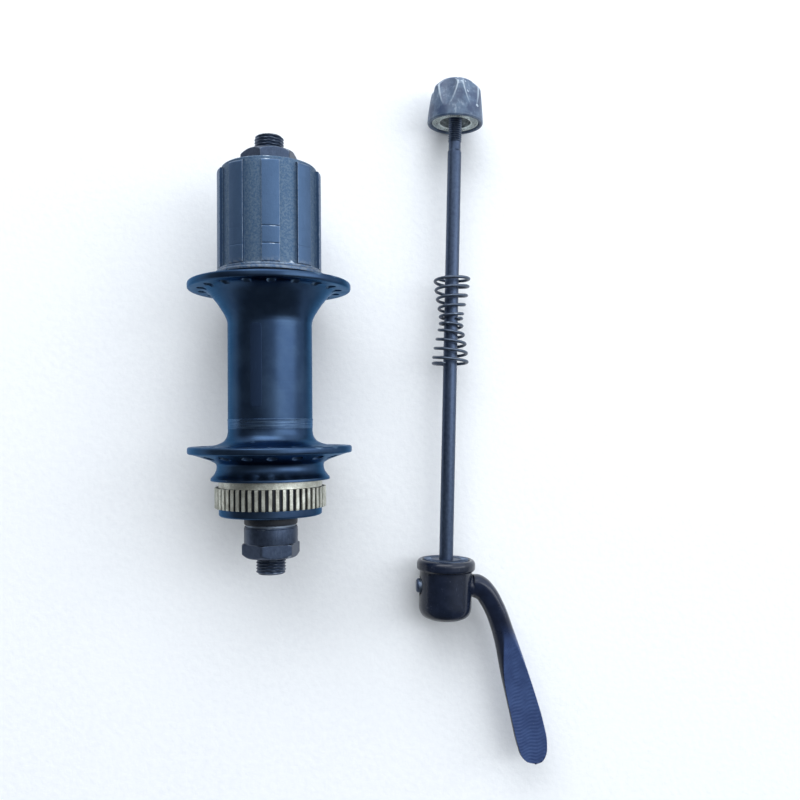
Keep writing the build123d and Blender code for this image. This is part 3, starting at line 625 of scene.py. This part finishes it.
def locknut_piece(name, node, open_end):
    """Locknut: the smaller of a turned profile and the reach of a hexagon at that angle, which is
    half the flats over the cosine of the angle from the nearest flat's middle. The open end is
    1 or -1, the way its chamfered face looks along the axis."""
    low, high = span(node)
    flat = 8.5
    corner = flat / np.cos(pi / 6)
    turn = radians(16.0)
    face, chamfered, flange, barrel = 8.25, 1.35, 9.35, 6.5
    inner, outer = (low, high) if open_end > 0 else (high, low)
    corners = [(NUT_BORE, inner, 0.2), (flange, inner, 0.25), (corner, inner + 0.35 * open_end, 0.1),
               (corner, outer - chamfered * open_end, 0.5), (face, outer, 0.35),
               (NUT_BORE + 0.4, outer, 0.15), (NUT_BORE, outer - 0.4 * open_end, 0.1)][::open_end]

    def hexagon(radius, station, angle):
        aside = (angle - turn + pi / 6) % (pi / 3) - pi / 6
        side = soft_min(flat / np.cos(aside), corner - 0.1, 0.05)
        return np.where(radius > barrel, soft_min(radius, side, 0.04), radius), station

    outline = spread(soften(corners), 0.35)
    return turned(name, outline, angles=180, shape=hexagon, crease=24)


def spacer_piece():
    """Turned spacer with rounded edges and a shallow step at its inner end."""
    low, high = span("rotor_spacer")
    outer = reach("rotor_spacer")[1]
    stepped = outer - 0.18
    corners = [(NUT_BORE, low, 0.2), (outer, low, 0.35), (outer, high - 0.55, 0.12),
               (stepped, high - 0.45, 0.08), (stepped, high, 0.15), (NUT_BORE, high, 0.2)]
    return turned("rotor_spacer_turned", soften(corners), angles=120)


def seal_piece():
    """Rubber seal on the cone, whose outer lip is cut into small teeth."""
    low, high = span("rotor_cone_seal")
    inner, outer = reach("rotor_cone_seal")
    corners = [(inner, low, 0.1), (outer - 0.1, low, 0.3), (outer, low + 0.9, 0.2),
               (outer - 0.05, high, 0.2), (inner, high, 0.1)]

    def teeth(radius, station, angle):
        lip = ramp(radius, outer - 0.5, outer - 0.2) * ramp(station, high - 0.9, high - 0.5)
        return radius - 0.22 * lip * ramp(saw(angle / tau * 60), 0.35, 0.65), station

    return turned("rotor_seal", spread(soften(corners), 0.22), angles=360, shape=teeth)


# ------------------------------------------------------------------ shell, rotor mount, freehub


def shell_piece():
    """Hub shell: one outline turned about the axle. Its waist is a straight tube that flares to
    the driven flange and meets the brake flange in a fillet, with the neck, collar and sleeve
    beyond it. Spoke holes are cut through both flanges, opened at either face."""
    low, high = span("hub_shell")
    flange_out = reach("hub_shell")[1]
    drive = mounts["drive_spoke_flange"][1] * 1000
    rotor = mounts["rotor_spoke_flange"][1] * 1000
    half, tube = FLANGE_HALF, TUBE
    collar_at = span("rotor_spline_ring")[1] + 0.05
    sleeve = reach("rotor_spline_ring")[0] - 0.05
    neck = smooth_line([(19.5, collar_at + 0.8), (18.3, collar_at + 2.2), (17.6, collar_at + 4.2),
                        (17.75, rotor - half - 3.3), (18.9, rotor - half - 2.5),
                        (22.0, rotor - half - 1.3), (25.2, rotor - half - 0.2),
                        (25.8, rotor - half)], 40)
    brake_fillet = smooth_line([(21.6, rotor + half), (20.6, rotor + half + 0.1),
                                (17.2, rotor + half + 0.75), (15.1, rotor + half + 1.9),
                                (14.2, rotor + half + 3.4), (tube, rotor + half + 4.8)], 34)
    flare = smooth_line([(tube, 9.6), (14.15, 10.8), (14.7, 12.2), (15.9, 14.3), (17.9, 17.2),
                         (20.0, 19.6), (21.6, drive - half - 0.15), (22.2, drive - half)], 44)
    brake_rim = soften([(25.8, rotor - half, 0), (flange_out, rotor - half, 0.8),
                        (flange_out, rotor + half, 0.8), (21.6, rotor + half, 0)], 7)
    drive_rim = soften([(22.2, drive - half, 0), (flange_out, drive - half, 0.85),
                        (flange_out, drive + half, 0.85), (19.0, drive + half, 0.2),
                        (18.4, high, 0.15)], 7)
    waist = [(tube, station) for station in (-25.4, -22.5, -19.0, -12.0, -5.0, 2.0, 7.0)]
    core_socket, socket_floor, bolt_hole, web_end = 12.9, 15.0, 7.6, 8.0
    hollow, cup_shoulder, cup_bore = 11.05, -41.9, 14.0
    outline = np.vstack([
        soften([(sleeve, low, 0.2), (sleeve, collar_at, 0.05), (19.6, collar_at, 0.2),
                (19.5, collar_at + 0.8, 0.1)]),
        neck, brake_rim, brake_fillet, waist, flare, drive_rim,
        [(core_socket, high), (core_socket, socket_floor), (bolt_hole, socket_floor),
         (bolt_hole, web_end), (hollow, web_end), (hollow, cup_shoulder),
         (cup_bore, cup_shoulder), (cup_bore, low)],
    ])
    outline = spread(drop_repeats(outline), 1.2)
    shell = turned("hub_shell_turned", outline, angles=192, crease=28)
    cutters = []
    drill, wide, lip = 1.3, 1.95, 0.6
    centres = radians(5.0) + np.arange(SPOKE_HOLES) * tau / SPOKE_HOLES
    for station, deep in ((drive, 0.6), (rotor, 2.8)):
        mouth = [(0.0, -half - deep), (wide, -half - deep), (wide, -half - 0.3 - deep / 3),
                 (drill, lip - half), (drill, half - lip), (wide, half + 0.05),
                 (wide, half + lip), (0.0, half + lip)]
        parts = [skin(hole_grid(mouth, centre, station), False) for centre in centres]
        count = len(parts[0][0])
        faces = [[corner + count * k for corner in face]
                 for k, part in enumerate(parts) for face in part[1]]
        points = np.vstack([part[0] for part in parts])
        cutters.append(mesh_piece("spoke_cutter", place(points, HUB), faces))
    return carve(shell, cutters, crease=28)


def hole_grid(mouth, centre, station):
    """Grid of a turned cutter along the hub axis, moved out to its place on the spoke circle."""
    outline = np.array(mouth)
    around = np.arange(28) * tau / 28
    x = SPOKE_CIRCLE * np.sin(centre) + outline[:, :1] * np.cos(around)
    z = SPOKE_CIRCLE * np.cos(centre) + outline[:, :1] * np.sin(around)
    y = np.repeat(station + outline[:, 1:], len(around), 1)
    return np.stack([x, y, z], -1)


def panel_piece():
    """Curved panel with rounded corners: a superellipse in angle and station, laid on the tube
    and lifted a little in its middle."""
    rows, columns, power = 14, 96, 9
    middle, half_width = radians(-15.0), radians(8.0)
    centre, half_length = -4.85, 13.55
    raised, rounded, sunk = 0.035, 0.05, 13.9
    share = np.sin(np.linspace(0, pi / 2, rows))[:, None]
    around = np.arange(columns)[None] * tau / columns
    soft = (np.abs(np.cos(around)) ** power + np.abs(np.sin(around)) ** power) ** (-1 / power)
    wide = middle + half_width * share * soft * np.cos(around)
    along = centre + half_length * share * soft * np.sin(around)
    over = TUBE + raised - rounded * ramp(share, 0.98, 1.0) * np.ones_like(soft)
    top = np.stack([over * np.sin(wide), along, over * np.cos(wide)], -1)
    under = np.stack([sunk * np.sin(wide[-1:]), along[-1:], sunk * np.cos(wide[-1:])], -1)
    vertices, faces = skin(np.vstack([top, under]), False)
    return mesh_piece("tube_panel", place(vertices, HUB), faces, 40)


def turned_band_piece():
    """Thin bright band round the tube where the turning tool has left its marks, with a fine
    raised line at its upper edge."""
    sunk, plain, line = 13.9, 13.99, 14.08
    low, high = -25.3, -21.9
    corners = [(sunk, low, 0.1), (plain - 0.01, low + 0.1, 0.1), (plain, high - 0.6, 0.1),
               (line, high - 0.4, 0.05), (line, high - 0.1, 0.05), (sunk, high, 0.1)]
    return turned("tube_band", soften(corners), angles=160)


def spline_section():
    """Angles and radii round the freehub: nine grooves with parallel sides, as corners in
    millimetres along the rim and out from the axis, softened and turned back into angles."""
    crest, floor = SPLINE_CREST, SPLINE_FLOOR
    middle = (crest + floor) / 2
    grooves, narrow_one = 9, 4
    pitch = 360.0 / grooves
    angles, radii = [], []
    for groove in range(grooves):
        width = 4.2 if groove == narrow_one else 6.2
        top = asin(width / 2 / crest) * middle
        low = asin(width / 2 / floor) * middle
        edge = radians(pitch / 2) * middle
        corners = [(-edge, crest, 0), (-top, crest, 0.16), (-low, floor, 0.22),
                   (low, floor, 0.22), (top, crest, 0.16), (edge, crest, 0)]
        run = spread(soften(corners, 5), 0.75, looped=False)[:-1]
        angles.append(run[:, 0] / middle + radians(25.0 + pitch * groove))
        radii.append(run[:, 1])
    return np.concatenate(angles), np.concatenate(radii)


def freehub_piece():
    """Freehub sleeve: the section above, held under a turned outline. It fades to the outline at
    the base, and three fine lines are cut round the lands, deeper across the top one."""
    low, high = span("freehub_body")
    angles, section = spline_section()
    crest, bore, race = SPLINE_CREST, 13.7, 14.35
    ring_out, ring_in, thread_r, thread_low = 15.88, 15.4, 15.1, high - 8.3
    base, land_out = low + 2.1, high - 1.3
    outer = soften([(bore, low, 0), (18.4, low, 0.25), (18.4, low + 0.9, 0.3), (crest, low + 1.5, 0.2),
                    (crest, land_out - 0.45, 0.2), (crest - 0.45, land_out, 0.2),
                    (ring_out, land_out, 0.02), (ring_out, high - 0.3, 0.12),
                    (ring_out - 0.3, high, 0.1), (ring_in, high, 0.1),
                    (thread_r, high - 0.3, 0.1), (thread_r, thread_low, 0)], 5)
    inner = [(bore, thread_low), (bore, high - 12.7), (race, high - 12.7), (race, low + 5.3),
             (bore, low + 5.3)]
    outline = spread(np.vstack([outer, inner]), 0.5)
    marks = np.array([base + 0.12, low + 8.05, low + 13.6])
    extra = (marks[:, None] + np.linspace(-0.24, 0.24, 9)[None]).ravel()
    radii, stations = outline.T
    wall = (radii > crest - 0.05) & (stations > base - 0.6) & (stations < land_out - 0.6)
    first, last = np.flatnonzero(wall)[[0, -1]]
    stations = np.sort(np.concatenate([stations[wall], extra]))
    lands = np.stack([np.full(len(stations), crest), stations], 1)
    outline = np.vstack([outline[:first], lands, outline[last + 1:]])

    def splines(radius, station, angle):
        outside = radius > 15.9
        under = 0.985 * ramp(station, base - 0.1, base + 0.35)
        shaped = radius - np.where(outside, under * np.maximum(radius - section[None], 0), 0)
        land = ramp(section[None], crest - 0.15, crest - 0.03)
        top_land = (np.cos(angle - radians(5.0)) > np.cos(radians(12.0))) * 1.0
        depth = np.array([0.20, 0.06, 0.02]) + np.array([0.02, 0.08, 0.12]) * top_land[..., None]
        cut = (depth * np.exp(-(((station[..., None] - marks) / 0.13) ** 2))).sum(-1)
        thread = (np.abs(radius - thread_r) < 0.05) & (station > high - 8.0)
        shaped = np.where(thread, radius - 0.3 * saw(station / AXLE_PITCH + angle / tau), shaped)
        return shaped - np.where(outside, cut * land, 0), station

    return turned("freehub_sleeve", outline, angles=angles, shape=splines, crease=26)


def ratchet_piece():
    """Ratchet ring inside the freehub: 24 teeth that climb over a pitch and drop at once."""
    teeth_count = 24
    phase = radians(90.0 + 31.7 + 1.5)
    step = np.array([0.0, 0.01, 0.14, 0.35, 0.6, 0.8, 0.99])
    share = np.tile(step, teeth_count)
    angles = (np.repeat(np.arange(teeth_count), len(step)) + share) * tau / teeth_count + phase
    root, crest, back = 14.2, 12.95, 14.33
    climb = np.clip((share - 0.14) / 0.85, 0, 1)
    inner = np.where(share < 0.005, root, crest + (root - crest) * climb)
    low, high = np.array(span("pawl_a")) + (-0.3, 0.3)
    outline = np.array([(13.0, low), (back, low), (back, high), (13.0, high)])

    def teeth(radius, station, angle):
        return np.where(radius < 14.0, inner[None], radius), station

    return turned("freehub_ratchet", outline, angles=angles, shape=teeth)


def spline_ring_piece():
    """Rotor spline ring: 52 grooves with sloping sides cut in a turned ring, beside its collar."""
    low, high = span("rotor_spline_ring")
    inner, crest = reach("rotor_spline_ring")
    count, collar = 52, 17.0
    tooth_in = high - 2.2
    corners = [(inner, low, 0.1), (crest, low, 0.3), (crest, tooth_in, 0.15),
               (collar, tooth_in, 0.1), (collar, high, 0.15), (inner, high, 0.1)]
    turn = np.array([0, 0.16, 0.2, 0.24, 0.28, 0.34, 0.42, 0.5, 0.58, 0.66, 0.72, 0.76, 0.8, 0.84])
    angles = ((np.arange(count)[:, None] + turn[None]) * tau / count).ravel()

    def grooves(radius, station, angle):
        aside = np.abs((angle * count / tau + 0.5) % 1 - 0.5) * tau / count * crest
        depth = 0.92 * (1 - ramp(aside, 0.40, 0.60)) * ramp(radius, 17.2, 17.9)
        worn = 0.05 * np.sin(angle * 23) * np.sin(angle * 7 + station)
        return radius - depth - worn * ramp(radius, 17.9, 18.2), station

    outline = spread(soften(corners), 0.5)
    return turned("rotor_splines", outline, angles=angles, shape=grooves, crease=24)


def thread_ring_piece():
    """Threaded ring at the shell's end, with an inner thread for the rotor's lockring."""
    low, high = span("rotor_thread_ring")
    outer = reach("rotor_thread_ring")[1]
    bore = 15.1
    corners = [(bore, low + 0.3, 0.1), (bore + 0.3, low, 0.1), (outer - 0.4, low, 0.15),
               (outer, low + 0.4, 0.15), (outer, high, 0.1), (bore, high, 0.1)]

    def thread(radius, station, angle):
        turns = 0.2 * saw(station / AXLE_PITCH + angle / tau) - 0.1
        return radius + np.where(radius < bore + 0.1, turns, 0), station

    return turned("rotor_lockring_seat", spread(soften(corners), 0.2), angles=144, shape=thread)


# ------------------------------------------------------------------ skewer


def rod_piece():
    """Skewer rod: a turned bar with a thread at its nut end, a waist below the thread, and a
    flattened eye in the cup whose slot is cut through for the cam."""
    low, high = span("skewer_rod", ROD)
    nut = span("nut_knob", ROD)[0]
    bar, waist, eye_r, eye = 2.5, 2.2, 4.45, -low
    thread_low = nut - 6.1
    corners = [(0, low, 0), (eye_r - 0.45, low, 0.4), (eye_r, low + 0.6, 0.3), (eye_r, eye - 0.6, 0.3),
               (3.9, eye, 0.3), (bar, eye + 0.6, 0.3), (bar, nut - 10.1, 0.2), (waist, nut - 9.5, 0.2),
               (waist, nut - 6.6, 0.2), (bar, thread_low, 0.1), (bar, high - 0.6, 0.1),
               (2.0, high, 0.1), (0, high, 0)]
    outline = spread(soften(corners), 0.1, looped=False)
    stations = outline[:, 1]
    plain = (stations > eye + 2) & (stations < nut - 11) & ((stations * 0.4) % 1 > 0.05)
    outline = outline[~plain]

    def shape(radius, station, angle):
        thread = ramp(station, thread_low - 0.2, thread_low + 0.2) * ramp(radius, 1.7, 2.3)
        turns = 1 - saw(station / ROD_PITCH + angle / tau)
        radius = radius - 0.36 * thread * turns ** 0.8
        flat = 3.4 / np.maximum(np.abs(np.sin(angle)), 1e-3)
        return np.where(station < eye + 0.2, np.minimum(radius, flat), radius), station

    def lengthen(points):
        points[..., 0] += np.where(points[..., 0] > 0, 0.7, 0.0)
        return points

    rod = turned("skewer_bar", outline, where=ROD, angles=48, looped=False, shape=shape, crease=50)
    slot_r, slot_half = 2.65, 6
    outline = [(0, -slot_half), (slot_r, -slot_half), (slot_r, slot_half), (0, slot_half)]
    cutter = turned("slot_cutter", outline, where=PIVOT, angles=48, looped=False, bend=lengthen)
    return carve(rod, [cutter], crease=50)


def cup_piece():
    """Skewer cup: a turned cup with a rolled rim and a round bottom, bored for the rod's eye and
    cross-bored for the lever's pivot, with a round recess for the pivot's end."""
    low, high = span("lever_cup", ROD)
    rim = reach("lever_cup", ROD)[1]
    body, eye_bore, washer_seat, mouth = 9.4, 4.75, 8.1, 8.7
    rim_in, seat_at, bore_end = high - 3.7, high - 1.28, low + 6.2
    corners = [(0, low, 0), (body * 0.55, low, 1.0), (body, low + 0.1, 4.4), (body, rim_in - 0.1, 0.5),
               (rim - 0.35, rim_in, 0.2), (rim, rim_in + 0.5, 0.4), (rim, high - 0.9, 0.8),
               (rim - 0.9, high, 0.5), (mouth, high, 0.3), (mouth - 0.45, high - 0.55, 0.2),
               (washer_seat, seat_at, 0.1), (eye_bore, seat_at, 0.1), (eye_bore, bore_end, 1.0),
               (0, bore_end, 0)]
    outline = spread(soften(corners, 9), 0.7, looped=False)
    cup = turned("skewer_cup", outline, where=ROD, angles=144, looped=False, crease=32)
    recess, recess_floor, journal, arm_hole = 3.5, -9.1, 2.32, 4.22
    outline = [(0, -13.0), (recess + 0.5, -13.0), (recess, recess_floor), (recess - 0.05, -8.2),
               (journal, -8.1), (journal, 0), (arm_hole, 0.1), (arm_hole, 13.0), (0, 13.0)]
    cutter = turned("pivot_cutter", outline, where=PIVOT, angles=64, looped=False)
    return carve(cup, [cutter], crease=32)


def cup_washer_piece():
    """Washer in the cup's mouth: radial teeth cut in its raised rim, and a flat centre."""
    low, high = span("cup_serrated_washer", ROD)
    inner, outer = reach("cup_serrated_washer", ROD)
    corners = [(inner, low, 0.05), (outer, low, 0.1), (outer, high, 0.2), (outer - 2.6, high, 0.1),
               (outer - 3.2, high - 0.35, 0.1), (inner, high - 0.35, 0.05)]

    def teeth(radius, station, angle):
        zone = ramp(radius, outer - 2.9, outer - 2.4) * ramp(station, high - 0.3, high - 0.1)
        return radius, station - 0.28 * zone * saw(angle / tau * 72)

    outline = spread(soften(corners), 0.3)
    return turned("cup_grip_washer", outline, where=ROD, angles=576, shape=teeth, crease=20)


def lever_arm_piece():
    """Lever arm and blade: for each share of its length, a section runs between two edge lines.
    Its height over the width is a superellipse leaning to the outer edge, cut down by a sloping
    facet that carries fine wavy ribs, and its underside is a plain rounded curve."""
    root, thick, rib = 9.9, 4.1, 1.18
    outer_edge = smooth_line([(0, 4.1), (2.2, 4.0), (5.0, 2.6), (8.2, -0.8), (11.1, -5.8),
                              (15.2, -16.0), (19.9, -28.7), (23.4, -38.6), (26.3, -47.8),
                              (27.9, -55.4), (27.7, -59.4), (26.2, -61.9), (23.4, -62.9)], 900)
    inner_edge = smooth_line([(0, -4.1), (1.4, -4.7), (3.0, -6.8), (4.9, -10.2), (7.1, -15.9),
                              (11.1, -32.9), (14.3, -45.8), (17.4, -57.6), (18.4, -60.2),
                              (20.4, -62.2), (23.4, -62.9)], 900)
    share = 1 - (1 - np.linspace(0, 1, 560)) ** 1.25
    cell = (share * 899).round().astype(int)
    outer_edge, inner_edge = outer_edge[cell], inner_edge[cell]
    along = share[:, None]
    across = (np.arange(72) / 72 * tau)[None]
    u = np.cos(across) * np.ones_like(along)
    lean = 0.42 - 0.25 * ramp(along, 0.3, 0.9)
    side = np.where(u > lean, (u - lean) / (1 - lean), (u - lean) / (1 + lean))
    power = 2.0 + 0.9 * ramp(along, 0.15, 0.7)
    ridge = thick - 0.5 * ramp(along, 0.25, 0.95)
    rise = ridge * np.clip(1 - np.abs(side) ** power, 0, 1) ** (1 / power)
    centre = (outer_edge + inner_edge) / 2
    length = np.cumsum(np.linalg.norm(np.diff(centre, axis=0), axis=1))
    length = np.concatenate([[0], length])[:, None]
    facet = 5.6 - 3.7 * ramp(along, 0.10, 0.62) + 0.35 * u - 0.25 * (1 - u * u)
    ribbed = ramp(along, 0.30, 0.36) * (1 - ramp(along, 0.95, 0.985))
    ribbed = ramp(rise - facet, 0.12, 0.4) * ribbed
    wave = 0.5 + 0.5 * np.sin(tau * (length / rib + 0.30 * np.sin(u * 5.5 + length * 0.25)))
    top = soft_min(rise, facet, 0.10) - 0.06 * ribbed * wave
    belly = thick - 2.0 * ramp(along, 0.1, 0.8)
    under = -belly * np.clip(1 - np.abs(u) ** power, 0, 1) ** (1 / power)
    height = np.where(np.sin(across) >= 0, np.maximum(top, 0), under)
    half = (outer_edge - inner_edge)[:, None] / 2
    flat = centre[:, None] + half * u[..., None]
    points = np.stack([root + flat[..., 0], flat[..., 1], height], -1)
    vertices, faces = skin(points, False)
    return mesh_piece("lever_arm", place(vertices, ROD), faces, 34)


def lever_pivot_piece():
    """Lever's pivot inside the cup: two round journals with an eccentric cam between them, its
    middle moved up, and a short waist where it leaves the cup."""
    start, end = -8.45, 10.6
    small, cam_r, large, cam_half = 2.2, 2.4, 4.1, 3.45
    corners = [(0, start, 0), (small, start, 0.2), (small, -3.5, 0.05), (cam_r, -cam_half, 0.05),
               (cam_r, cam_half, 0.05), (large, 3.5, 0.2), (large, 9.2, 0.3), (large - 0.35, 9.7, 0.3),
               (large - 0.2, end, 0.1), (0, end, 0)]

    def cam(points):
        points[..., 0] += 0.7 * (np.abs(points[..., 1]) < cam_half + 0.02)
        return points

    return turned("lever_pivot", soften(corners), where=PIVOT, angles=64, looped=False, bend=cam)


def nut_ring_piece():
    """Serrated ring in the nut: radial teeth on its rim, then a step down to a flat floor."""
    low, high = span("nut_serrated_ring", ROD)
    inner, outer = reach("nut_serrated_ring", ROD)
    corners = [(inner, low + 1.6, 0.1), (4.3, low + 1.6, 0.1), (4.6, low + 0.95, 0.15),
               (5.3, low + 0.95, 0.15), (5.6, low + 0.15, 0.1), (6.1, low, 0.15),
               (outer, low, 0.3), (outer, high, 0.2), (inner, high, 0.1)]

    def teeth(radius, station, angle):
        zone = ramp(radius, 5.9, 6.3) * (1 - ramp(station, low + 0.1, low + 0.4))
        zone = zone * (1 - ramp(radius, outer - 0.5, outer - 0.2))
        return radius, station + 0.42 * zone * ramp(saw(angle / tau * 54), 0.25, 0.75)

    outline = spread(soften(corners), 0.25)
    return turned("nut_grip_ring", outline, where=ROD, angles=540, shape=teeth, crease=20)


def knob_piece():
    """Nut knob: a turned dome over a skirt, cut by six leaning round flutes. A flute's wall lies
    at its distance times the cosine, less the root of its radius squared minus the sine part."""
    nut_travel, bore, flute_r = 3.1, 2.8, 5.2
    low, high = span("nut_knob", ROD)
    wide = reach("nut_knob", ROD)[1]
    ring_room = reach("nut_serrated_ring", ROD)[1] + 0.3
    corners = [(ring_room, low + 0.3, 0.15), (ring_room + 0.3, low, 0.2), (wide - 0.3, low, 0.3),
               (wide, low + 0.5, 0.4), (wide - 0.15, low + 2.8, 0.6), (9.2, low + 12.3, 0.8),
               (5.9, low + 15.3, 0.6), (3.6, high, 0.4), (0, high, 0)]
    hollow = span("skewer_rod", ROD)[1] + nut_travel + 0.4
    outer = np.vstack([[(ring_room, low + 4.0)], spread(soften(corners, 6), 0.28, looped=False)])
    last = len(outer) - 1
    outline = np.vstack([outer, [(0, hollow), (bore, hollow), (bore, low + 4.0)]])

    def flutes(radius, station, angle):
        rise = np.clip((station - low - 3.5) / 12.5, -0.35, 1.2)
        distance = 15.2 - 4.4 * rise
        aside = (angle - radians(32.0) + pi / 6) % (pi / 3) - pi / 6
        left = flute_r**2 - (distance * np.sin(aside)) ** 2
        wall = distance * np.cos(aside) - np.sqrt(np.maximum(left, 0))
        wall = np.where(left > 0, wall, wall + 6.0)
        outside = (np.arange(len(radius))[:, None] <= last) & (radius > 3.0) & (station > low + 1.0)
        return np.where(outside, soft_min(radius, wall, 0.07), radius), station

    return turned("nut_cap", outline, where=ROD, angles=216, shape=flutes, crease=40)


def spring_piece(name, node, way):
    """Conical spring: a round wire along a helix whose radius grows with the station and whose
    pitch is small at both closed ends, so the end coils lie together."""
    low, high = span(node, ROD)
    wire = 0.55
    narrow, wide = 3.6, 6.15
    share = np.linspace(0, 1, 420)
    turns = 5.6
    rise = np.cumsum(0.30 + ramp(share, 0.06, 0.22) * (1 - ramp(share, 0.80, 0.97)))
    rise = (rise - rise[0]) / (rise[-1] - rise[0])
    start, end = (low + wire, high - wire) if way > 0 else (high - wire, low + wire)
    station = start + (end - start) * rise
    radius = narrow + (wide - narrow) * ramp(rise, -0.25, 1.0)
    angle = share * turns * tau + (0.4 if way > 0 else 2.1)
    path = np.stack([radius * np.sin(angle), station, radius * np.cos(angle)], -1)
    forward = np.gradient(path, axis=0)
    forward /= np.linalg.norm(forward, axis=1, keepdims=True)
    outward = path * (1, 0, 1)
    outward -= (outward * forward).sum(1, keepdims=True) * forward
    outward /= np.linalg.norm(outward, axis=1, keepdims=True)
    upward = np.cross(forward, outward)
    around = np.arange(14) * tau / 14
    thin = wire * np.sqrt(np.clip(1 - (2 * share - 1) ** 60, 0.02, 1))[:, None, None]
    offset = np.cos(around)[None, :, None] * outward[:, None]
    offset = offset + np.sin(around)[None, :, None] * upward[:, None]
    vertices, faces = skin(path[:, None] + thin * offset, False)
    return mesh_piece(name, place(vertices, ROD), faces, 60)


# ------------------------------------------------------------------ camera, light and table


def make_camera():
    """Camera above the table, looking almost straight down."""
    data = bpy.data.cameras.new("camera")
    data.lens = 36.085
    data.sensor_width = 36.0
    camera = bpy.data.objects.new("camera", data)
    camera.location = (0.018516, -0.024996, 0.270359)
    camera.rotation_euler = (0.0344, -0.0916, -0.0104)
    bpy.context.scene.collection.objects.link(camera)
    bpy.context.scene.camera = camera


def panel_light(name, stand, target, size, power, color):
    """Square soft light at one point, turned to face another."""
    data = bpy.data.lights.new(name, "AREA")
    data.shape = "RECTANGLE"
    data.size, data.size_y = size
    data.energy = power
    data.color = color
    light = bpy.data.objects.new(name, data)
    ahead = Vector(target) - Vector(stand)
    light.location = stand
    light.rotation_euler = ahead.to_track_quat("-Z", "Y").to_euler()
    bpy.context.scene.collection.objects.link(light)


def make_light():
    """Cool, even studio light. The room brightens smoothly towards the far right of the
    table, by the cosine of the angle from that way, and two soft panels stand by the table."""
    scene = bpy.context.scene
    scene.view_settings.view_transform = "Standard"
    world = bpy.data.worlds.new("room")
    scene.world = world
    world.use_nodes = True
    tree = world.node_tree
    background = tree.nodes["Background"]
    background.inputs["Color"].default_value = (0.88, 0.935, 1.0, 1.0)
    way = tree.nodes.new("ShaderNodeTexCoord")
    toward = tree.nodes.new("ShaderNodeVectorMath")
    toward.operation = "DOT_PRODUCT"
    toward.inputs[1].default_value = tuple(unit((0.42, 0.85, 0.27)))
    dim = tree.nodes.new("ShaderNodeMapRange")
    set_range(dim, -0.05, 0.85, 0.18, 1.8)
    tree.links.new(way.outputs["Generated"], toward.inputs[0])
    tree.links.new(toward.outputs["Value"], dim.inputs["Value"])
    tree.links.new(dim.outputs["Result"], background.inputs["Strength"])
    cool = (0.92, 0.96, 1.0)
    panel_light("far_window", (-0.10, 0.75, 0.55), (0.0, 0.0, 0.0), (0.9, 0.5), 4.7, cool)
    panel_light("side_window", (0.65, 0.1, 0.6), (0.0, 0.0, 0.0), (0.3, 0.9), 2.3, cool)


def make_table():
    """Wide flat floor just under the flanges."""
    low = cad_box[0][2] - 0.0001
    half = 1.5
    corners = np.array([(-1, -1), (1, -1), (1, 1), (-1, 1)]) * half
    points = np.column_stack([corners, np.full(4, low)])
    table = mesh_piece("table", points, [[0, 1, 2, 3]])
    table.data.materials.append(table_top())


# ------------------------------------------------------------------ everything together

make_camera()
make_light()
make_table()

anodised = satin_anodised()
oxide = black_oxide()
rod_oxide = black_oxide("rod_oxide", ROD, 1.25)
steel = bearing_steel()
rubber = black_rubber()
hub_paint = gloss_paint("cap_paint", HUB)
cup_paint = gloss_paint("cup_paint", ROD)
lever_paint = blade_paint()
zinc = bright_zinc("ring_zinc", ROD, span("nut_serrated_ring", ROD)[0])
hub_zinc = bright_zinc("bolt_zinc", HUB)
wire = black_oxide("spring_wire", ROD, 0.8)

settle(axle_piece(), oxide, "axle_set", "black_steel", "axle")
settle(locknut_piece("drive_nut", "drive_locknut", 1), oxide, "axle_set", "black_steel",
       "drive_locknut")
settle(locknut_piece("rotor_nut", "rotor_locknut", -1), oxide, "axle_set", "black_steel",
       "rotor_locknut")
settle(spacer_piece(), oxide, "axle_set", "black_steel", "rotor_spacer")
settle(seal_piece(), rubber, "axle_set", "black_rubber", "rotor_cone_seal")
settle(shell_piece(), anodised, "shell", "black_anodised", "hub_shell")
settle(panel_piece(), printed_panel(), "shell", "black_anodised")
settle(turned_band_piece(), brushed_band(), "shell", "black_anodised")
settle(spline_ring_piece(), dull_nickel(), "shell", "nickel_ring", "rotor_spline_ring")
settle(thread_ring_piece(), anodised, "shell", "black_anodised", "rotor_thread_ring")
settle(freehub_piece(), freehub_steel(), "freehub", "freehub_steel", "freehub_body")
settle(ratchet_piece(), steel, "freehub", "freehub_steel")
settle(rod_piece(), rod_oxide, "skewer", "black_steel", "skewer_rod")
settle(cup_piece(), cup_paint, "cup", "black_paint", "lever_cup")
settle(cup_washer_piece(), rod_oxide, "cup", "black_steel", "cup_serrated_washer")
settle(lever_arm_piece(), lever_paint, "lever", "black_paint", "quick_lever")
settle(lever_pivot_piece(), lever_paint, "lever", "black_paint")
settle(nut_ring_piece(), zinc, "nut_ring", "zinc_steel", "nut_serrated_ring")
settle(knob_piece(), worn_plastic(), "nut", "knob_plastic", "nut_knob")
settle(spring_piece("nut_side_spring", "spring_nut_side", 1), wire, "upper_spring",
       "spring_steel", "spring_nut_side")
settle(spring_piece("lever_side_spring", "spring_lever_side", -1), wire, "lower_spring",
       "spring_steel", "spring_lever_side")

kept = {
    steel: ("rotor_bearing_cup", "drive_bearing_cup", "freehub_core", "pawl_a", "pawl_b",
            "drive_balls", "rotor_balls", "freehub_outer_balls", "freehub_inner_balls"),
    oxide: ("drive_washer", "rotor_washer", "drive_cone", "rotor_cone"),
    wire: ("pawl_springs",),
    hub_paint: ("rotor_dust_cap", "drive_dust_cap"),
    hub_zinc: ("freehub_bolt",),
    zinc: ("nut_insert",),
    rubber: ("freehub_seal",),
    rod_oxide: ("lever_end_cap",),
}
for material, names in kept.items():
    for name in names:
        nodes[name].data.materials.clear()
        nodes[name].data.materials.append(material)
